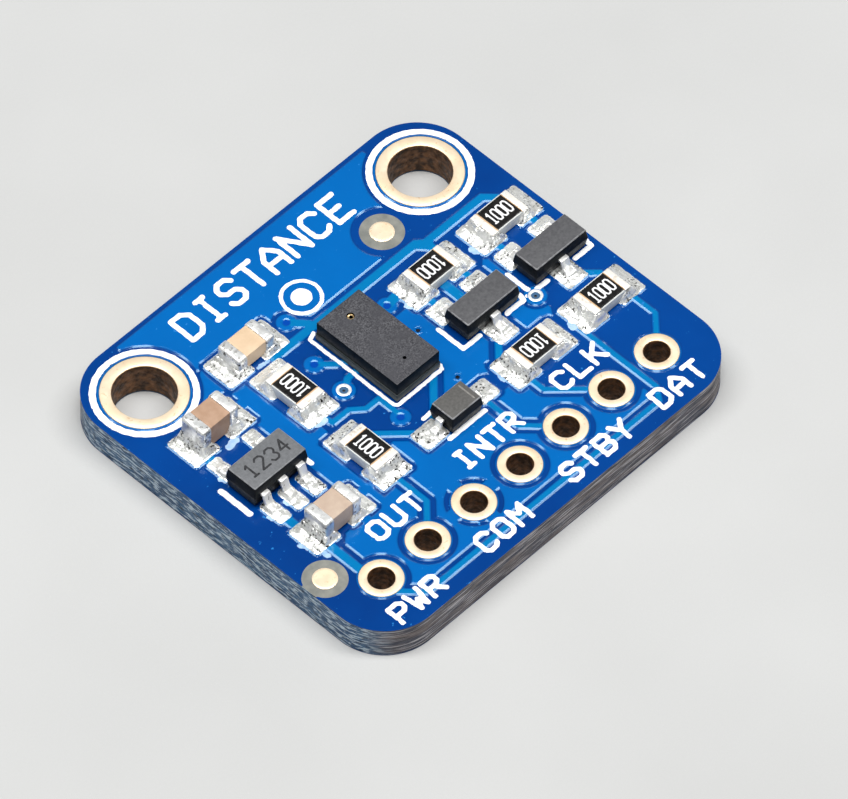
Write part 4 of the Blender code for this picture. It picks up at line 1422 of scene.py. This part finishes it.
for number, quarters in CODE_TURNS.items():
    chip = f"resistor_{number}"
    add_softened(f"{chip}_slip", f"{chip}_ceramic", alumina, 0.02, segments=2)
    for side in ("left", "right"):
        terminal = f"{chip}_terminal_{side}"
        add_softened(f"{chip}_end_{side}", terminal, plated_end, 0.05, only_outer=True)
    first = footprint(f"{chip}_terminal_left", 9.0)
    second = footprint(f"{chip}_terminal_right", 9.0)
    centre_x = (first[0] + second[1] + first[1] + second[0]) / 4
    centre = (centre_x, (first[2] + second[3] + first[3] + second[2]) / 4)
    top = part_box(f"{chip}_terminal_left")[1].z / MM
    upright = quarters % 2
    apart_x = abs(second[0] + second[1] - first[0] - first[1])
    apart_v = abs(second[2] + second[3] - first[2] - first[3])
    half_gap = (apart_x + apart_v) / 4
    half_gap -= min(first[1] - first[0], first[3] - first[2]) / 2 - 0.075
    half_width = max(first[1] - first[0], first[3] - first[2]) / 2 - 0.02
    half_x, half_v = (half_width, half_gap) if upright else (half_gap, half_width)
    patch = (centre[0] - half_x, centre[0] + half_x, centre[1] - half_v, centre[1] + half_v)
    coat, coat_x, coat_v = skin(
        f"{chip}_glaze",
        lambda x, v: box_field(x, v, *patch, 0.03),
        lambda x, v: top - GLAZE_SINK
        + (GLAZE_RISE + GLAZE_SINK) * smooth_step(box_field(x, v, *patch, 0.03), 0.0, 0.07),
        span_round([(patch[0], patch[2]), (patch[1], patch[3])], 0.05), 0.04, 0.03,
    )
    from_middle = np.abs(coat_v - centre[1]) if upright else np.abs(coat_x - centre[0])
    add_mask(coat, "from_end", half_gap - from_middle)
    add_piece(f"{chip}_glaze", coat, glaze)
    written = lettering("1000", centre[0] - 0.535, centre[1] - 0.30, 0.21, 0.60, 0.036, 0.285)
    written = [(half, turned(line, centre, quarters)) for half, line in written]
    stroke_piece(f"{chip}_code", written, top + GLAZE_RISE, code_ink, 0.003)


# The chip capacitors. Three blocks of layered ceramic, one pale and two tan, with thick tinned ends whose
# corners are rounded from tumbling.
CERAMICS = {
    "sensor_capacitor": ((0.64, 0.46, 0.29), (0.74, 0.55, 0.37)),
    "output_capacitor": ((0.38, 0.23, 0.145), (0.48, 0.31, 0.21)),
    "input_capacitor": ((0.46, 0.34, 0.26), (0.56, 0.44, 0.34)),
}
# The ends' sides are painted darker as shade, and their tops near white as painted light.
silver_side_shade = finish_material(
    "silver chip end, side",
    Base_Color=lambda m: pitted(m, (0.80, 0.80, 0.78), (0.45, 0.44, 0.40), (0.06, 0.05, 0.045), 6.0),
    Metallic=0.7,
    Roughness=rough(3.0, 0.25, 0.42),
    Normal=grain(3.0, 0.02),
)
silver_top_light = finish_material(
    "silver chip end, top",
    Base_Color=lambda m: pitted(m, (0.97, 0.97, 0.95), (0.80, 0.79, 0.76), (0.30, 0.28, 0.25), 6.0),
    Metallic=0.6,
    Roughness=rough(3.0, 0.28, 0.45),
    Normal=grain(3.0, 0.02),
)
for chip, (dark, light) in CERAMICS.items():
    ceramic = finish_material(
        f"{chip} ceramic",
        Base_Color=blotched(2.2, 0.3, 0.7, dark, light),
        Roughness=rough(4.0, 0.4, 0.6),
        Normal=grain(8.0, 0.004),
    )
    block = softened(f"{chip}_block", f"{chip}_ceramic", 0.04)
    for vertex in block.vertices:
        vertex.co -= vertex.normal * 0.02 * MM
    add_piece(f"{chip}_block", block, ceramic, [f"{chip}_ceramic"])
    for side in ("left", "right"):
        inner_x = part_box(f"{chip}_terminal_{side}")[side == "left"].x
        end = dipped_end(f"{chip}_end_{side}", f"{chip}_terminal_{side}", inner_x, 0.006)
        paint_top(end, 0.55)
        stood_for = [f"{chip}_terminal_{side}"]
        add_piece(f"{chip}_end_{side}", end, (silver_side_shade, silver_top_light), stood_for, sharp=60)


# Flux left from soldering. It dried as thin glossy flakes and smears beside some of the pads.
FLUX = (
    ((2.5, 8.45), (2.62, 8.2), 0.14), ((6.25, 8.55), (6.35, 8.35), 0.17), ((2.52, 3.25), (2.55, 3.6), 0.11),
    ((6.22, 3.1), (6.28, 3.3), 0.14), ((-4.1, 6.85), (-3.7, 6.8), 0.13), ((-7.2, 8.55), (-6.8, 8.6), 0.16),
    ((-8.55, 5.1), (-8.5, 4.9), 0.09), ((-7.6, 5.15), (-7.55, 4.95), 0.09),
    ((-8.68, 3.3), (-8.6, 3.0), 0.08), ((-8.55, 7.7), (-8.5, 7.5), 0.09),
    ((-8.3, 2.4), (-8.25, 2.2), 0.11), ((-3.7, 10.42), (-3.2, 10.4), 0.08),
)
FLUX_MARGIN = 0.3
FLUX_THICKNESS = 0.008
flux_finish = finish_material(
    "dried flux",
    Base_Color=blotched(3.0, 0.3, 0.7, (0.24, 0.42, 0.68), (0.50, 0.66, 0.84)),
    Roughness=rough(4.0, 0.15, 0.35),
    Normal=grain(4.0, 0.006),
)
for number, (start, end, half) in enumerate(FLUX, start=1):
    def flaked(x, v):
        return path_field(x, v, (start, end), half) + 0.045 * lumps(x * 1.9, v * 1.9, number)

    add_skin(
        f"flux_{number}", flaked, lambda x, v: lacquer_top(x, v) + FLUX_THICKNESS,
        span_round([start, end], FLUX_MARGIN), 0.03, FLUX_THICKNESS, flux_finish,
    )
